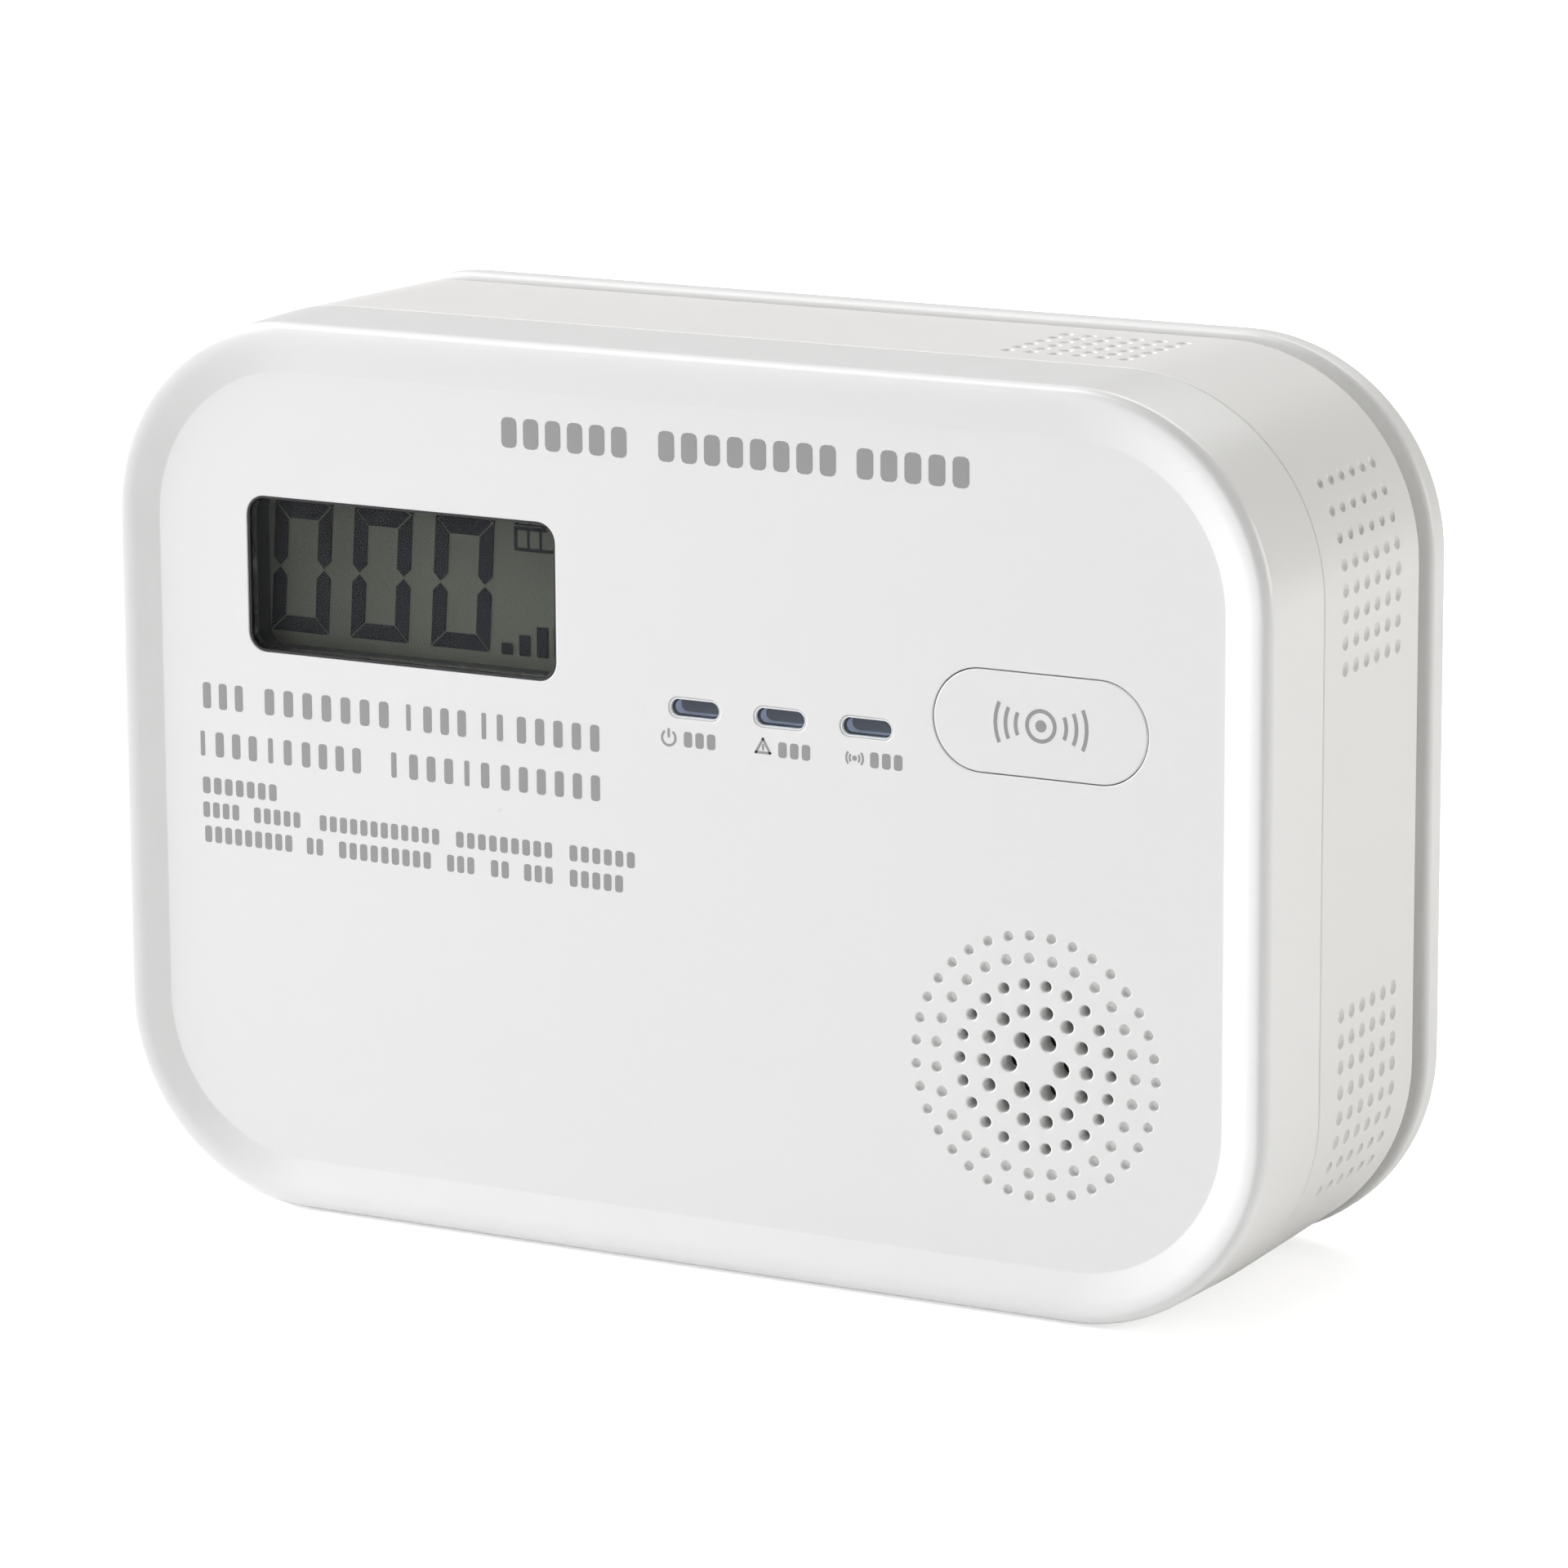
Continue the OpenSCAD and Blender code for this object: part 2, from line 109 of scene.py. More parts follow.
# The room looks white to the camera, but lights the detector only a little.
room = bpy.data.worlds.new("white_room")
scene.world = room
room.use_nodes = True
nodes, links = room.node_tree.nodes, room.node_tree.links
lit = nodes["Background"]
lit.inputs["Color"].default_value = (1, 1, 1, 1)
lit.inputs["Strength"].default_value = ROOM_LIGHT
seen = nodes.new("ShaderNodeBackground")
seen.inputs["Strength"].default_value = 1.0
seen.inputs["Color"].default_value = (1, 1, 1, 1)
room_path = nodes.new("ShaderNodeLightPath")
room_mix = nodes.new("ShaderNodeMixShader")
links.new(room_path.outputs["Is Camera Ray"], room_mix.inputs[0])
links.new(lit.outputs[0], room_mix.inputs[1])
links.new(seen.outputs[0], room_mix.inputs[2])
links.new(room_mix.outputs[0], nodes["World Output"].inputs[0])

floor_mesh = bpy.data.meshes.new("floor")
bm = bmesh.new()
bmesh.ops.create_grid(bm, x_segments=1, y_segments=1, size=FLOOR_SIZE / 2)
bm.to_mesh(floor_mesh)
bm.free()
floor = bpy.data.objects.new("floor", floor_mesh)
scene.collection.objects.link(floor)
paper = bpy.data.materials.new("white_paper")
paper.use_nodes = True
shader = paper.node_tree.nodes["Principled BSDF"]
shader.inputs["Base Color"].default_value = (0.9, 0.9, 0.9, 1)
shader.inputs["Roughness"].default_value = 0.9
shader.inputs["Specular IOR Level"].default_value = 0.1
shader.inputs["Emission Color"].default_value = (1, 1, 1, 1)
floor_path = paper.node_tree.nodes.new("ShaderNodeLightPath")
glow = paper.node_tree.nodes.new("ShaderNodeMath")
glow.operation = "MULTIPLY"
glow.inputs[1].default_value = FLOOR_GLOW
paper.node_tree.links.new(floor_path.outputs["Is Camera Ray"], glow.inputs[0])
paper.node_tree.links.new(glow.outputs[0], shader.inputs["Emission Strength"])
floor_mesh.materials.append(paper)


# ---- Front cover -------------------------------------------------------------------------------
# One glossy off-white ABS moulding: the flat face, the raised rim that slopes down to it, and the
# side walls as far as the joint line. Its holes have softly rounded mouths. Screws hold it from
# behind, through posts moulded on its inside.

MM = 0.001
RIM_H = 0.8
RIM_SLOPE = 15
EDGE_R = 1.0
CORNER_R = 19.5
JOINT_D = 10
JOINT_GAP = 0.03
JOINT_R = 0.22
FRONT_DRAFT = 0.2
WALL = 2.2
FACE_T = 2.0
WINDOW_GAP = 0.3
MOUTH_R = 0.14
RING_HOLES = (6, 14, 22, 27, 35)
RING_RADII = (2.6, 5.1, 7.52, 9.9, 11.95)
RING_DIAS = (1.5, 1.2, 1.0, 1.0, 0.9)
THROUGH_RINGS = 3
BLIND_DEPTH = 0.5
CASE_SCREWS = ((-46, 32.5), (46, 32.5), (-46, -32.5), (14, -33.5))
BOARD_SCREWS = ((-48.5, -12), (4, 31), (51, 1.5))

# A piece is shaped lying on its back in millimetres, with X to the right, Y up the case and Z out
# of its flat face, and is then stood up in the frame.
face_y = cad_box[0].y + RIM_H * MM
middle_z = (cad_box[0].z + cad_box[1].z) / 2
STAND = (
    Matrix.Translation((0, face_y, middle_z))
    @ Matrix.Rotation(math.radians(90), 4, "X")
    @ Matrix.Scale(MM, 4)
)


def lying(node):
    """A CAD node's middle, size, highest and lowest lift, as it lies on its back."""
    a, b = (STAND.inverted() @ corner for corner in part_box(node))
    middle = (a + b) / 2
    size = Vector((abs(b.x - a.x), abs(b.y - a.y)))
    return middle.xy, size, max(a.z, b.z), min(a.z, b.z)


def outline(bm, middle, size, radius, lift, segments=24, turn=Matrix()):
    """A flat face with rounded corners. It faces up, unless it is turned."""
    spot = turn @ Matrix.Translation((*middle, lift)) @ Matrix.Diagonal((*size, 1, 1))
    corners = bmesh.ops.create_grid(bm, x_segments=1, y_segments=1, size=0.5, matrix=spot)["verts"]
    if radius > 0:
        corners = bmesh.ops.bevel(
            bm, geom=corners, offset=radius, offset_type="OFFSET", segments=segments, profile=0.5,
            material=-1, affect="VERTICES", clamp_overlap=False,
        )["verts"]
        bmesh.ops.remove_doubles(bm, verts=corners, dist=0.0005)
    return next(vert for vert in corners if vert.is_valid).link_faces[0]


def bend(radius, slope_a, slope_b, steps=4):
    """Insets and rises along an arc. A slope of 90 climbs straight, and 0 runs level inwards."""
    side = 1 if slope_a > slope_b else -1
    turns = [math.radians(slope_a + (slope_b - slope_a) * k / steps) for k in range(steps + 1)]
    return [
        (side * radius * (math.sin(a) - math.sin(b)), side * radius * (math.cos(b) - math.cos(a)))
        for a, b in zip(turns, turns[1:])
    ]


def follow(bm, face, profile):
    """Carries a face along insets and rises, and leaves the walls behind it."""
    for inset, rise in profile:
        bmesh.ops.inset_region(
            bm, faces=[face], thickness=inset, depth=rise, use_even_offset=True, use_boundary=True
        )
    return face


def close(bm):
    """Fills the open end of a shape, and returns the new face."""
    open_edges = [edge for edge in bm.edges if edge.is_boundary]
    return bmesh.ops.holes_fill(bm, edges=open_edges, sides=0)["faces"][0]


def slab(
    bm, middle, size, radius, low, high, top_r=0.0, base_r=0.0, segments=12, steps=3, turn=Matrix()
):
    """A closed plate with rounded corners, and with rounded edges if they have a radius."""
    face = outline(bm, middle, size, radius, low + base_r, segments, turn)
    top = [(0, high - low - top_r - base_r)] + (bend(top_r, 90, 0, steps) if top_r else [])
    follow(bm, face, top)
    base = close(bm)
    if base_r:
        follow(bm, base, bend(base_r, 90, 0, steps))


def opening(
    bm, middle, size, radius, surface, depth, mouth=MOUTH_R, end_r=0.0, segments=12, steps=3,
    turn=Matrix(),
):
    """A cutter that comes down through a surface, with a rounded mouth and end."""
    wide = (size[0] + 2 * mouth, size[1] + 2 * mouth)
    face = outline(bm, middle, wide, radius + mouth, surface + 0.5, segments, turn)
    bmesh.ops.reverse_faces(bm, faces=[face])
    down = [(0, 0.5)] + (bend(mouth, 0, 90, steps) if mouth else [])
    down += [(0, depth - mouth - end_r)] + (bend(end_r, 90, 0, steps) if end_r else [])
    follow(bm, face, down)
    close(bm)


def combine(bm, tool, operation):
    """Joins one closed shape to another, or cuts it away, and returns the result."""
    pair = []
    for shape in (bm, tool):
        mesh = bpy.data.meshes.new("shape")
        shape.to_mesh(mesh)
        shape.free()
        pair.append(bpy.data.objects.new("shape", mesh))
        scene.collection.objects.link(pair[-1])
    step = pair[0].modifiers.new("combine", "BOOLEAN")
    step.operation = operation
    step.solver = "EXACT"
    step.object = pair[1]
    solved = pair[0].evaluated_get(bpy.context.evaluated_depsgraph_get())
    result = bmesh.new()
    result.from_mesh(solved.to_mesh())
    solved.to_mesh_clear()
    for obj in pair:
        mesh = obj.data
        bpy.data.objects.remove(obj)
        bpy.data.meshes.remove(mesh)
    return result


def stand_up(bm, name, material, sharp=38, place=STAND):
    """Stands a shape in the frame as a piece that is smooth except at its real corners."""
    bmesh.ops.transform(bm, matrix=place, verts=bm.verts)
    mesh = bpy.data.meshes.new(name)
    bm.to_mesh(mesh)
    bm.free()
    mesh.materials.append(material)
    mesh.shade_smooth()
    mesh.set_sharp_from_angle(angle=math.radians(sharp))
    piece = bpy.data.objects.new(name, mesh)
    scene.collection.objects.link(piece)
    normals = piece.modifiers.new("even_shading", "WEIGHTED_NORMAL")
    normals.keep_sharp = True
    return piece


def finish_group(name, plain, outputs):
    """An empty node group with the inputs and outputs that a finish needs."""
    group = bpy.data.node_groups.new(name, "ShaderNodeTree")
    for label, kind, value in plain:
        socket = group.interface.new_socket(label, in_out="INPUT", socket_type=kind)
        socket.default_value = value
    for label, kind in outputs:
        group.interface.new_socket(label, in_out="OUTPUT", socket_type=kind)
    return group, group.nodes.new("NodeGroupInput"), group.nodes.new("NodeGroupOutput")


def noise(tree, scale, detail):
    """A noise in the object's own millimetres, with features of about 1 / scale."""
    where = tree.nodes.new("ShaderNodeTexCoord")
    texture = tree.nodes.new("ShaderNodeTexNoise")
    texture.inputs["Scale"].default_value = scale / MM
    texture.inputs["Detail"].default_value = detail
    tree.links.new(where.outputs["Object"], texture.inputs["Vector"])
    return texture


def span(tree, source, low, high):
    """A value from 0 to 1, carried to run from one input or number to another."""
    reach = tree.nodes.new("ShaderNodeMapRange")
    tree.links.new(source, reach.inputs["Value"])
    for label, end in (("To Min", low), ("To Max", high)):
        if isinstance(end, float):
            reach.inputs[label].default_value = end
        else:
            tree.links.new(end, reach.inputs[label])
    return reach.outputs[0]


def maths(tree, operation, a, b):
    """One sum on two sockets or numbers."""
    node = tree.nodes.new("ShaderNodeMath")
    node.operation = operation
    for k, value in enumerate((a, b)):
        if isinstance(value, float):
            node.inputs[k].default_value = value
        else:
            tree.links.new(value, node.inputs[k])
    return node.outputs[0]


# A moulded surface: slow flow marks in its colour, patches in its gloss, and a fine grain.
moulding, given, made = finish_group(
    "moulded_surface",
    [
        ("Colour", "NodeSocketColor", (0.8, 0.8, 0.8, 1)), ("Flow", "NodeSocketFloat", 0.02),
        ("Roughness", "NodeSocketFloat", 0.3), ("Patchiness", "NodeSocketFloat", 0.05),
    ],
    [("Colour", "NodeSocketColor"), ("Roughness", "NodeSocketFloat"), ("Height", "NodeSocketFloat")],
)
slow = noise(moulding, 0.03, 2.0)
shade = span(moulding, slow.outputs[0], maths(moulding, "SUBTRACT", 1.0, given.outputs["Flow"]), 1.0)
tint = moulding.nodes.new("ShaderNodeVectorMath")
tint.operation = "SCALE"
moulding.links.new(given.outputs["Colour"], tint.inputs[0])
moulding.links.new(shade, tint.inputs["Scale"])
moulding.links.new(tint.outputs[0], made.inputs["Colour"])
patches = noise(moulding, 0.25, 3.0)
spread = maths(moulding, "MULTIPLY", patches.outputs[0], given.outputs["Patchiness"])
rough = maths(moulding, "ADD", given.outputs["Roughness"], spread)
moulding.links.new(rough, made.inputs["Roughness"])
grain = noise(moulding, 2.6, 2.0)
moulding.links.new(grain.outputs[0], made.inputs["Height"])


def moulded(name, colour, roughness, flow=0.02, patchiness=0.06, grain_mm=0.004, **fixed):
    """A moulded plastic or rubber with its own colour, gloss and grain."""
    material = bpy.data.materials.new(name)
    material.use_nodes = True
    tree = material.node_tree
    shader = tree.nodes["Principled BSDF"]
    finish = tree.nodes.new("ShaderNodeGroup")
    finish.node_tree = moulding
    finish.inputs["Colour"].default_value = (*colour, 1)
    finish.inputs["Flow"].default_value = flow
    finish.inputs["Roughness"].default_value = roughness
    finish.inputs["Patchiness"].default_value = patchiness
    bump = tree.nodes.new("ShaderNodeBump")
    bump.inputs["Distance"].default_value = grain_mm * MM
    tree.links.new(finish.outputs["Colour"], shader.inputs["Base Color"])
    tree.links.new(finish.outputs["Roughness"], shader.inputs["Roughness"])
    tree.links.new(finish.outputs["Height"], bump.inputs["Height"])
    tree.links.new(bump.outputs[0], shader.inputs["Normal"])
    for label, value in fixed.items():
        shader.inputs[label.replace("_", " ")].default_value = value
    return material


glossy_white = moulded("glossy_white_abs", (0.82, 0.82, 0.81), 0.26, flow=0.012)

case_size = lying("front_cover")[1]
crest_r = 1.3 / math.sin(math.radians(RIM_SLOPE))
face_r = 0.8
crest_drop = crest_r * (1 - math.cos(math.radians(RIM_SLOPE)))
foot_drop = face_r * (1 - math.cos(math.radians(RIM_SLOPE)))
slope_drop = RIM_H - crest_drop - foot_drop
slope_run = slope_drop / math.tan(math.radians(RIM_SLOPE))
side_foot = -JOINT_D + JOINT_GAP + JOINT_R
side_top = RIM_H - EDGE_R

cover = bmesh.new()
face = outline(cover, (0, 0), case_size, CORNER_R, side_foot)
follow(cover, face, [(FRONT_DRAFT, side_top - side_foot)] + bend(EDGE_R, 90, 0, 8))
follow(cover, face, bend(crest_r, 0, -RIM_SLOPE, 4) + [(slope_run, -slope_drop)])
follow(cover, face, bend(face_r, -RIM_SLOPE, 0, 3))
back = close(cover)
follow(cover, back, bend(JOINT_R, 90, 0, 3) + [(WALL / 2 - JOINT_R, 0), (0, -2)])
follow(cover, back, [(WALL / 2, 0), (0, -(JOINT_D - JOINT_GAP - 2 - FACE_T))])

posts = bmesh.new()
for spot, post_r in [(s, 3.0) for s in CASE_SCREWS] + [(s, 2.5) for s in BOARD_SCREWS]:
    slab(posts, spot, (2 * post_r, 2 * post_r), post_r, -9, 0.1 - FACE_T, segments=8)
cover = combine(cover, posts, "UNION")

window_mid, window_size, window_top, window_base = lying("display_window")
opening_size = window_size + Vector((2, 2)) * WINDOW_GAP
button_mid, flange_size = lying("test_button")[:2]
button_size = flange_size - Vector((2.6, 2.6))
light_mids = [lying(f"light_pipe_{light}")[0] for light in ("power", "fault", "alarm")]
light_size = lying("light_pipe_power")[1] - Vector((1.8, 1.8))
grille_mid = lying("grille_screen")[0]

holes = bmesh.new()
opening(holes, window_mid, opening_size, 1.9, 0, 3, mouth=0.08, segments=8)
opening(holes, button_mid, button_size, button_size.y / 2, 0, 3, mouth=0.1)
for spot in light_mids:
    opening(holes, spot, light_size, light_size.y / 2, 0, 3, mouth=0.1, segments=8)
for ring, count in enumerate(RING_HOLES):
    through = ring < THROUGH_RINGS
    for k in range(count):
        turn = math.tau * k / count
        spot = grille_mid + RING_RADII[ring] * Vector((math.cos(turn), math.sin(turn)))
        opening(
            holes, spot, (RING_DIAS[ring],) * 2, RING_DIAS[ring] / 2, 0, 3 if through else BLIND_DEPTH,
            mouth=0.16 if through else 0.1, end_r=0 if through else 0.2, segments=4, steps=2,
        )
cover = combine(cover, holes, "DIFFERENCE")

front_cover = stand_up(cover, "front_cover_shell", glossy_white)
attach(front_cover, "housing")
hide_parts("front_cover")


# ---- Rear cover --------------------------------------------------------------------------------
# The back half of the case, in satin off-white ABS: side walls with rows of small blind dimples, a
# narrower neck that carries the wall plate, and a battery bay that is open to the back.

REAR_D = 31.4
REAR_EDGE = 0.4
NECK_INSET = 3.2
NECK_D = 33.2
BACK_T = 2.0
BAY_SIZE = Vector((56.6, 46.8))
BAY_FLOOR = 16
DOOR_MARGIN = 0.3
DIMPLE_PITCH = 2.36
DIMPLE_DIA = 1.25
DIMPLE_DEPTH = 0.38
FIRST_COLUMN = 14.6
SIDE_ROWS = (32.9, -15.1)
TOP_COLUMN = 26.5
LATCH_Z = 25.8
SNAP_SPOTS = [(x, z) for x in (-46, 46) for z in (-20, 20)]

satin_white = moulded("satin_white_abs", (0.80, 0.795, 0.78), 0.36, flow=0.015, grain_mm=0.006)

rear = bmesh.new()
rear_front = -(JOINT_D + JOINT_GAP + JOINT_R)
shell = outline(rear, (0, 0), case_size, CORNER_R, rear_front)
bmesh.ops.reverse_faces(rear, faces=[shell])
side_run = REAR_D - REAR_EDGE + rear_front
follow(rear, shell, [(REAR_EDGE, side_run)] + bend(REAR_EDGE, 90, 0, 4))
follow(rear, shell, [(NECK_INSET - 2 * REAR_EDGE, 0), (0, NECK_D - REAR_D)])
mouth = close(rear)
follow(rear, mouth, bend(JOINT_R, 90, 0, 3) + [(1.0, 0), (0, 1.95), (1.45, 0)])
follow(rear, mouth, [(0, -(REAR_D - BACK_T - JOINT_D - JOINT_GAP + 1.95))])

door_size = lying("battery_door")[1]
tray = bmesh.new()
slab(tray, (0, -0.6), (door_size.x + 3.6, BAY_SIZE.y + 7.2), 1.5, -NECK_D + 0.01, 1.6 - BAY_FLOOR)
for spot in CASE_SCREWS:
    slab(tray, spot, (7.5, 7.5), 3.75, -REAR_D + 0.01, -10.6, segments=8)
rear = combine(rear, tray, "UNION")


def side_x(z):
    """How far right the case's side is at a height, with its rounded corners."""
    past = max(0, abs(z) - (case_size.y / 2 - CORNER_R))
    return case_size.x / 2 - CORNER_R + math.sqrt(CORNER_R ** 2 - past ** 2)


TO_TOP = Matrix.Rotation(-math.pi / 2, 4, "X")
TO_RIGHT = Matrix.Rotation(math.pi / 2, 4, "Y")
TO_LEFT = Matrix.Rotation(-math.pi / 2, 4, "Y")
TO_BACK = Matrix.Rotation(math.pi, 4, "Y")


def dimple(bm, middle, surface, turn, mouth):
    """A cutter for one blind dimple in a side of the case."""
    opening(
        bm, middle, (DIMPLE_DIA,) * 2, DIMPLE_DIA / 2, surface, DIMPLE_DEPTH, mouth, end_r=0.25,
        segments=3, steps=1, turn=turn,
    )


cuts = bmesh.new()
for column in range(6):
    depth = FIRST_COLUMN + column * DIMPLE_PITCH
    inset = REAR_EDGE * (depth - JOINT_D) / (REAR_D - JOINT_D)
    for k in range(6):
        dimple(cuts, (TOP_COLUMN + k * DIMPLE_PITCH, depth), case_size.y / 2 - inset, TO_TOP, 0.1)
    for top_row in SIDE_ROWS:
        for k in range(8):
            z = top_row - k * DIMPLE_PITCH
            mouth = 0.1 if abs(z) < 28 else 0.0
            dimple(cuts, (depth, z), side_x(z) - inset, TO_RIGHT, mouth)
            dimple(cuts, (-depth, z), side_x(z) - inset, TO_LEFT, mouth)


def back_opening(bm, middle, size, radius, surface_d, depth, mouth=MOUTH_R, segments=6):
    """A cutter that comes in from the back, to a depth below that surface."""
    opening(bm, (-middle[0], middle[1]), size, radius, surface_d, depth, mouth, 0.0, segments, 3, TO_BACK)


def bar(bm, half_length, radius, depth, z, sides=24):
    """A round bar along X, centred on the case."""
    bmesh.ops.create_cone(
        bm, cap_ends=True, segments=sides, radius1=radius, radius2=radius, depth=2 * half_length,
        matrix=Matrix.Translation((0, z, -depth)) @ Matrix.Rotation(math.pi / 2, 4, "Y"),
    )


HINGE_D = NECK_D - 1.3
HINGE_Z = -24.6
recess_low = HINGE_Z - 1.6
recess_high = 24.9
recess_mid = (0, (recess_low + recess_high) / 2)
recess_size = (door_size.x - 2 * 1.4 + 2 * DOOR_MARGIN, recess_high - recess_low)
back_opening(cuts, recess_mid, recess_size, 0.6, NECK_D, 2.0)
rear = combine(rear, cuts, "DIFFERENCE")

cuts = bmesh.new()
back_opening(cuts, (0, 0), BAY_SIZE, 1.0, NECK_D - 2, NECK_D - 2 - BAY_FLOOR, mouth=0.2)
back_opening(cuts, (0, LATCH_Z), (14, 5), 2.2, NECK_D, 1.2, mouth=0.1)
for spot in SNAP_SPOTS:
    back_opening(cuts, spot, (8.8, 2.4), 0.3, NECK_D, NECK_D - REAR_D + BACK_T + 1, mouth=0.15)
for spot in CASE_SCREWS:
    back_opening(cuts, spot, (5.6, 5.6), 2.8, NECK_D, NECK_D - 14, mouth=0.25, segments=8)
rear = combine(rear, cuts, "DIFFERENCE")
cuts = bmesh.new()
bar(cuts, door_size.x / 2 - 1.4 + 0.3, 1.5, HINGE_D, HINGE_Z)
rear = combine(rear, cuts, "DIFFERENCE")
cuts = bmesh.new()
bar(cuts, door_size.x / 2 + 0.2, 1.05, HINGE_D, HINGE_Z)
for spot in CASE_SCREWS:
    slab(cuts, spot, (2.9, 2.9), 1.45, -15, -9.6, segments=6)
rear = combine(rear, cuts, "DIFFERENCE")

rear_cover = stand_up(rear, "rear_cover_shell", satin_white)
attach(rear_cover, "housing")
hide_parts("rear_cover")


# ---- Test button -------------------------------------------------------------------------------
# A white cap with two round ends, flush with the face. Its wider flange is behind the cover, which
# keeps it in, and its short stem presses the switch on the board.

CAP_GAP = 0.1
FLANGE_RIM = 1.3
CAP_EDGE = 0.16
FLANGE_TOP = 2.05
FLANGE_BASE = 3.0
STEM_D = 3.9

button = bmesh.new()
cap = outline(button, button_mid, flange_size, flange_size.y / 2, -FLANGE_BASE)
follow(button, cap, [(0, FLANGE_BASE - FLANGE_TOP), (FLANGE_RIM + CAP_GAP, 0)])
follow(button, cap, [(0, FLANGE_TOP - CAP_EDGE)] + bend(CAP_EDGE, 90, 0, 4))
close(button)
stem = bmesh.new()
slab(stem, button_mid, (5, 5), 2.5, -STEM_D, 0.1 - FLANGE_BASE, segments=8)
button = combine(button, stem, "UNION")

button_white = moulded("button_white_abs", (0.815, 0.815, 0.805), 0.3, flow=0.01)
test_button = stand_up(button, "test_button_cap", button_white)
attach(test_button, "button")
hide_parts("test_button")


# ---- Display -----------------------------------------------------------------------------------
# A liquid crystal glass stands in a black moulded frame that lines the opening, with a pale
# reflector behind it and a clear acrylic window in front. The dark segments are on the glass.

GLASS_D = 3.6
MARK_LIFT = 0.02
# These are lower than real acrylic's 1.49, whose reflections of a white room would hide the display.
WINDOW_IOR = 1.15
PIPE_IOR = 1.1
SEGMENT_W = 1.5
SEGMENT_GAP = 0.1
DIGIT_SIZE = Vector((6.3, 12.3))
DIGIT_MIDS = ((-41.6, 18.6), (-32.9, 18.6), (-24.1, 18.6))
DIGIT_SLANT = 3.5
ICON_MID = Vector((-16.3, 23.35))
LEVEL_FOOT = Vector((-19.4, 12.4))
LEVEL_HEIGHTS = (1.1, 2.0, 2.9)
LEVEL_PITCH = 1.9


def clear_plastic(name, tint, roughness, ior, clearness=1.0):
    """A clear moulding that lets the lamps' light through to what is behind it."""
    material = bpy.data.materials.new(name)
    material.use_nodes = True
    tree = material.node_tree
    shader = tree.nodes["Principled BSDF"]
    shader.inputs["Transmission Weight"].default_value = clearness
    shader.inputs["IOR"].default_value = ior
    finish = tree.nodes.new("ShaderNodeGroup")
    finish.node_tree = moulding
    finish.inputs["Colour"].default_value = (*tint, 1)
    finish.inputs["Flow"].default_value = 0.01
    finish.inputs["Roughness"].default_value = roughness
    finish.inputs["Patchiness"].default_value = 0.005
    tree.links.new(finish.outputs["Colour"], shader.inputs["Base Color"])
    tree.links.new(finish.outputs["Roughness"], shader.inputs["Roughness"])
    path = tree.nodes.new("ShaderNodeLightPath")
    through = tree.nodes.new("ShaderNodeBsdfTransparent")
    through.inputs["Color"].default_value = (*tint, 1)
    either = tree.nodes.new("ShaderNodeMixShader")
    tree.links.new(path.outputs["Is Shadow Ray"], either.inputs[0])
    tree.links.new(shader.outputs[0], either.inputs[1])
    tree.links.new(through.outputs[0], either.inputs[2])
    tree.links.new(either.outputs[0], tree.nodes["Material Output"].inputs["Surface"])
    return material


def finish_node(name, material):
    """Gives a CAD node that keeps its shape a better material."""
    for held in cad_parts[name].material_slots:
        held.material = material


window = bmesh.new()
slab(window, window_mid, window_size, 1.5, window_base, window_top, 0.25, 0.1, segments=10)
clear_acrylic = clear_plastic("clear_acrylic", (0.95, 0.96, 0.95), 0.0, WINDOW_IOR)
display_window = stand_up(window, "display_window_pane", clear_acrylic)
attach(display_window, "housing")
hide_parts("display_window")

lcd_glass = moulded(
    "liquid_crystal_glass", (0.088, 0.094, 0.077), 0.3, flow=0.22, grain_mm=0, Specular_IOR_Level=0.15
)
finish_node("display_frame", moulded("display_frame_black", (0.018, 0.018, 0.02), 0.32, patchiness=0.1))
finish_node("display_glass", lcd_glass)
finish_node("display_reflector", moulded("reflector_film", (0.6, 0.62, 0.58), 0.4))
finish_node("connector_strip", moulded("connector_rubber", (0.35, 0.22, 0.22), 0.6, grain_mm=0.01))


def flat_mark(bm, corners, low, high):
    """A thin mark with straight edges between its corners."""
    verts = [bmesh.ops.create_vert(bm, co=(x, y, low))["vert"][0] for x, y in corners]
    face = bmesh.ops.contextual_create(bm, geom=verts)["faces"][0]
    face.normal_update()
    if face.normal.z < 0:
        bmesh.ops.reverse_faces(bm, faces=[face])
    follow(bm, face, [(0, high - low)])
    close(bm)


# A digit's upright bars meet in points at its middle, and its top and bottom bars are mitred.
mark_high = MARK_LIFT - GLASS_D
mark_low = mark_high - 0.1
digit_x = DIGIT_SIZE.x / 2
digit_z = DIGIT_SIZE.y / 2
inner_x = digit_x - SEGMENT_W
UPRIGHT = (
    (digit_x - SEGMENT_W / 2, SEGMENT_GAP), (digit_x, SEGMENT_GAP + SEGMENT_W / 2),
    (digit_x, digit_z - SEGMENT_GAP), (inner_x, digit_z - SEGMENT_GAP - SEGMENT_W),
    (inner_x, SEGMENT_GAP + SEGMENT_W / 2),
)
CROSSBAR = (
    (SEGMENT_GAP - digit_x, digit_z), (digit_x - SEGMENT_GAP, digit_z),
    (inner_x - SEGMENT_GAP, digit_z - SEGMENT_W), (SEGMENT_GAP - inner_x, digit_z - SEGMENT_W),
)
digits = bmesh.new()
for middle in DIGIT_MIDS:
    for end in (-1, 1):
        for side in (-1, 1):
            corners = [(middle[0] + side * x, middle[1] + end * z) for x, z in UPRIGHT]
            flat_mark(digits, corners, mark_low, mark_high)
        corners = [(middle[0] + x, middle[1] + end * z) for x, z in CROSSBAR]
        flat_mark(digits, corners, mark_low, mark_high)
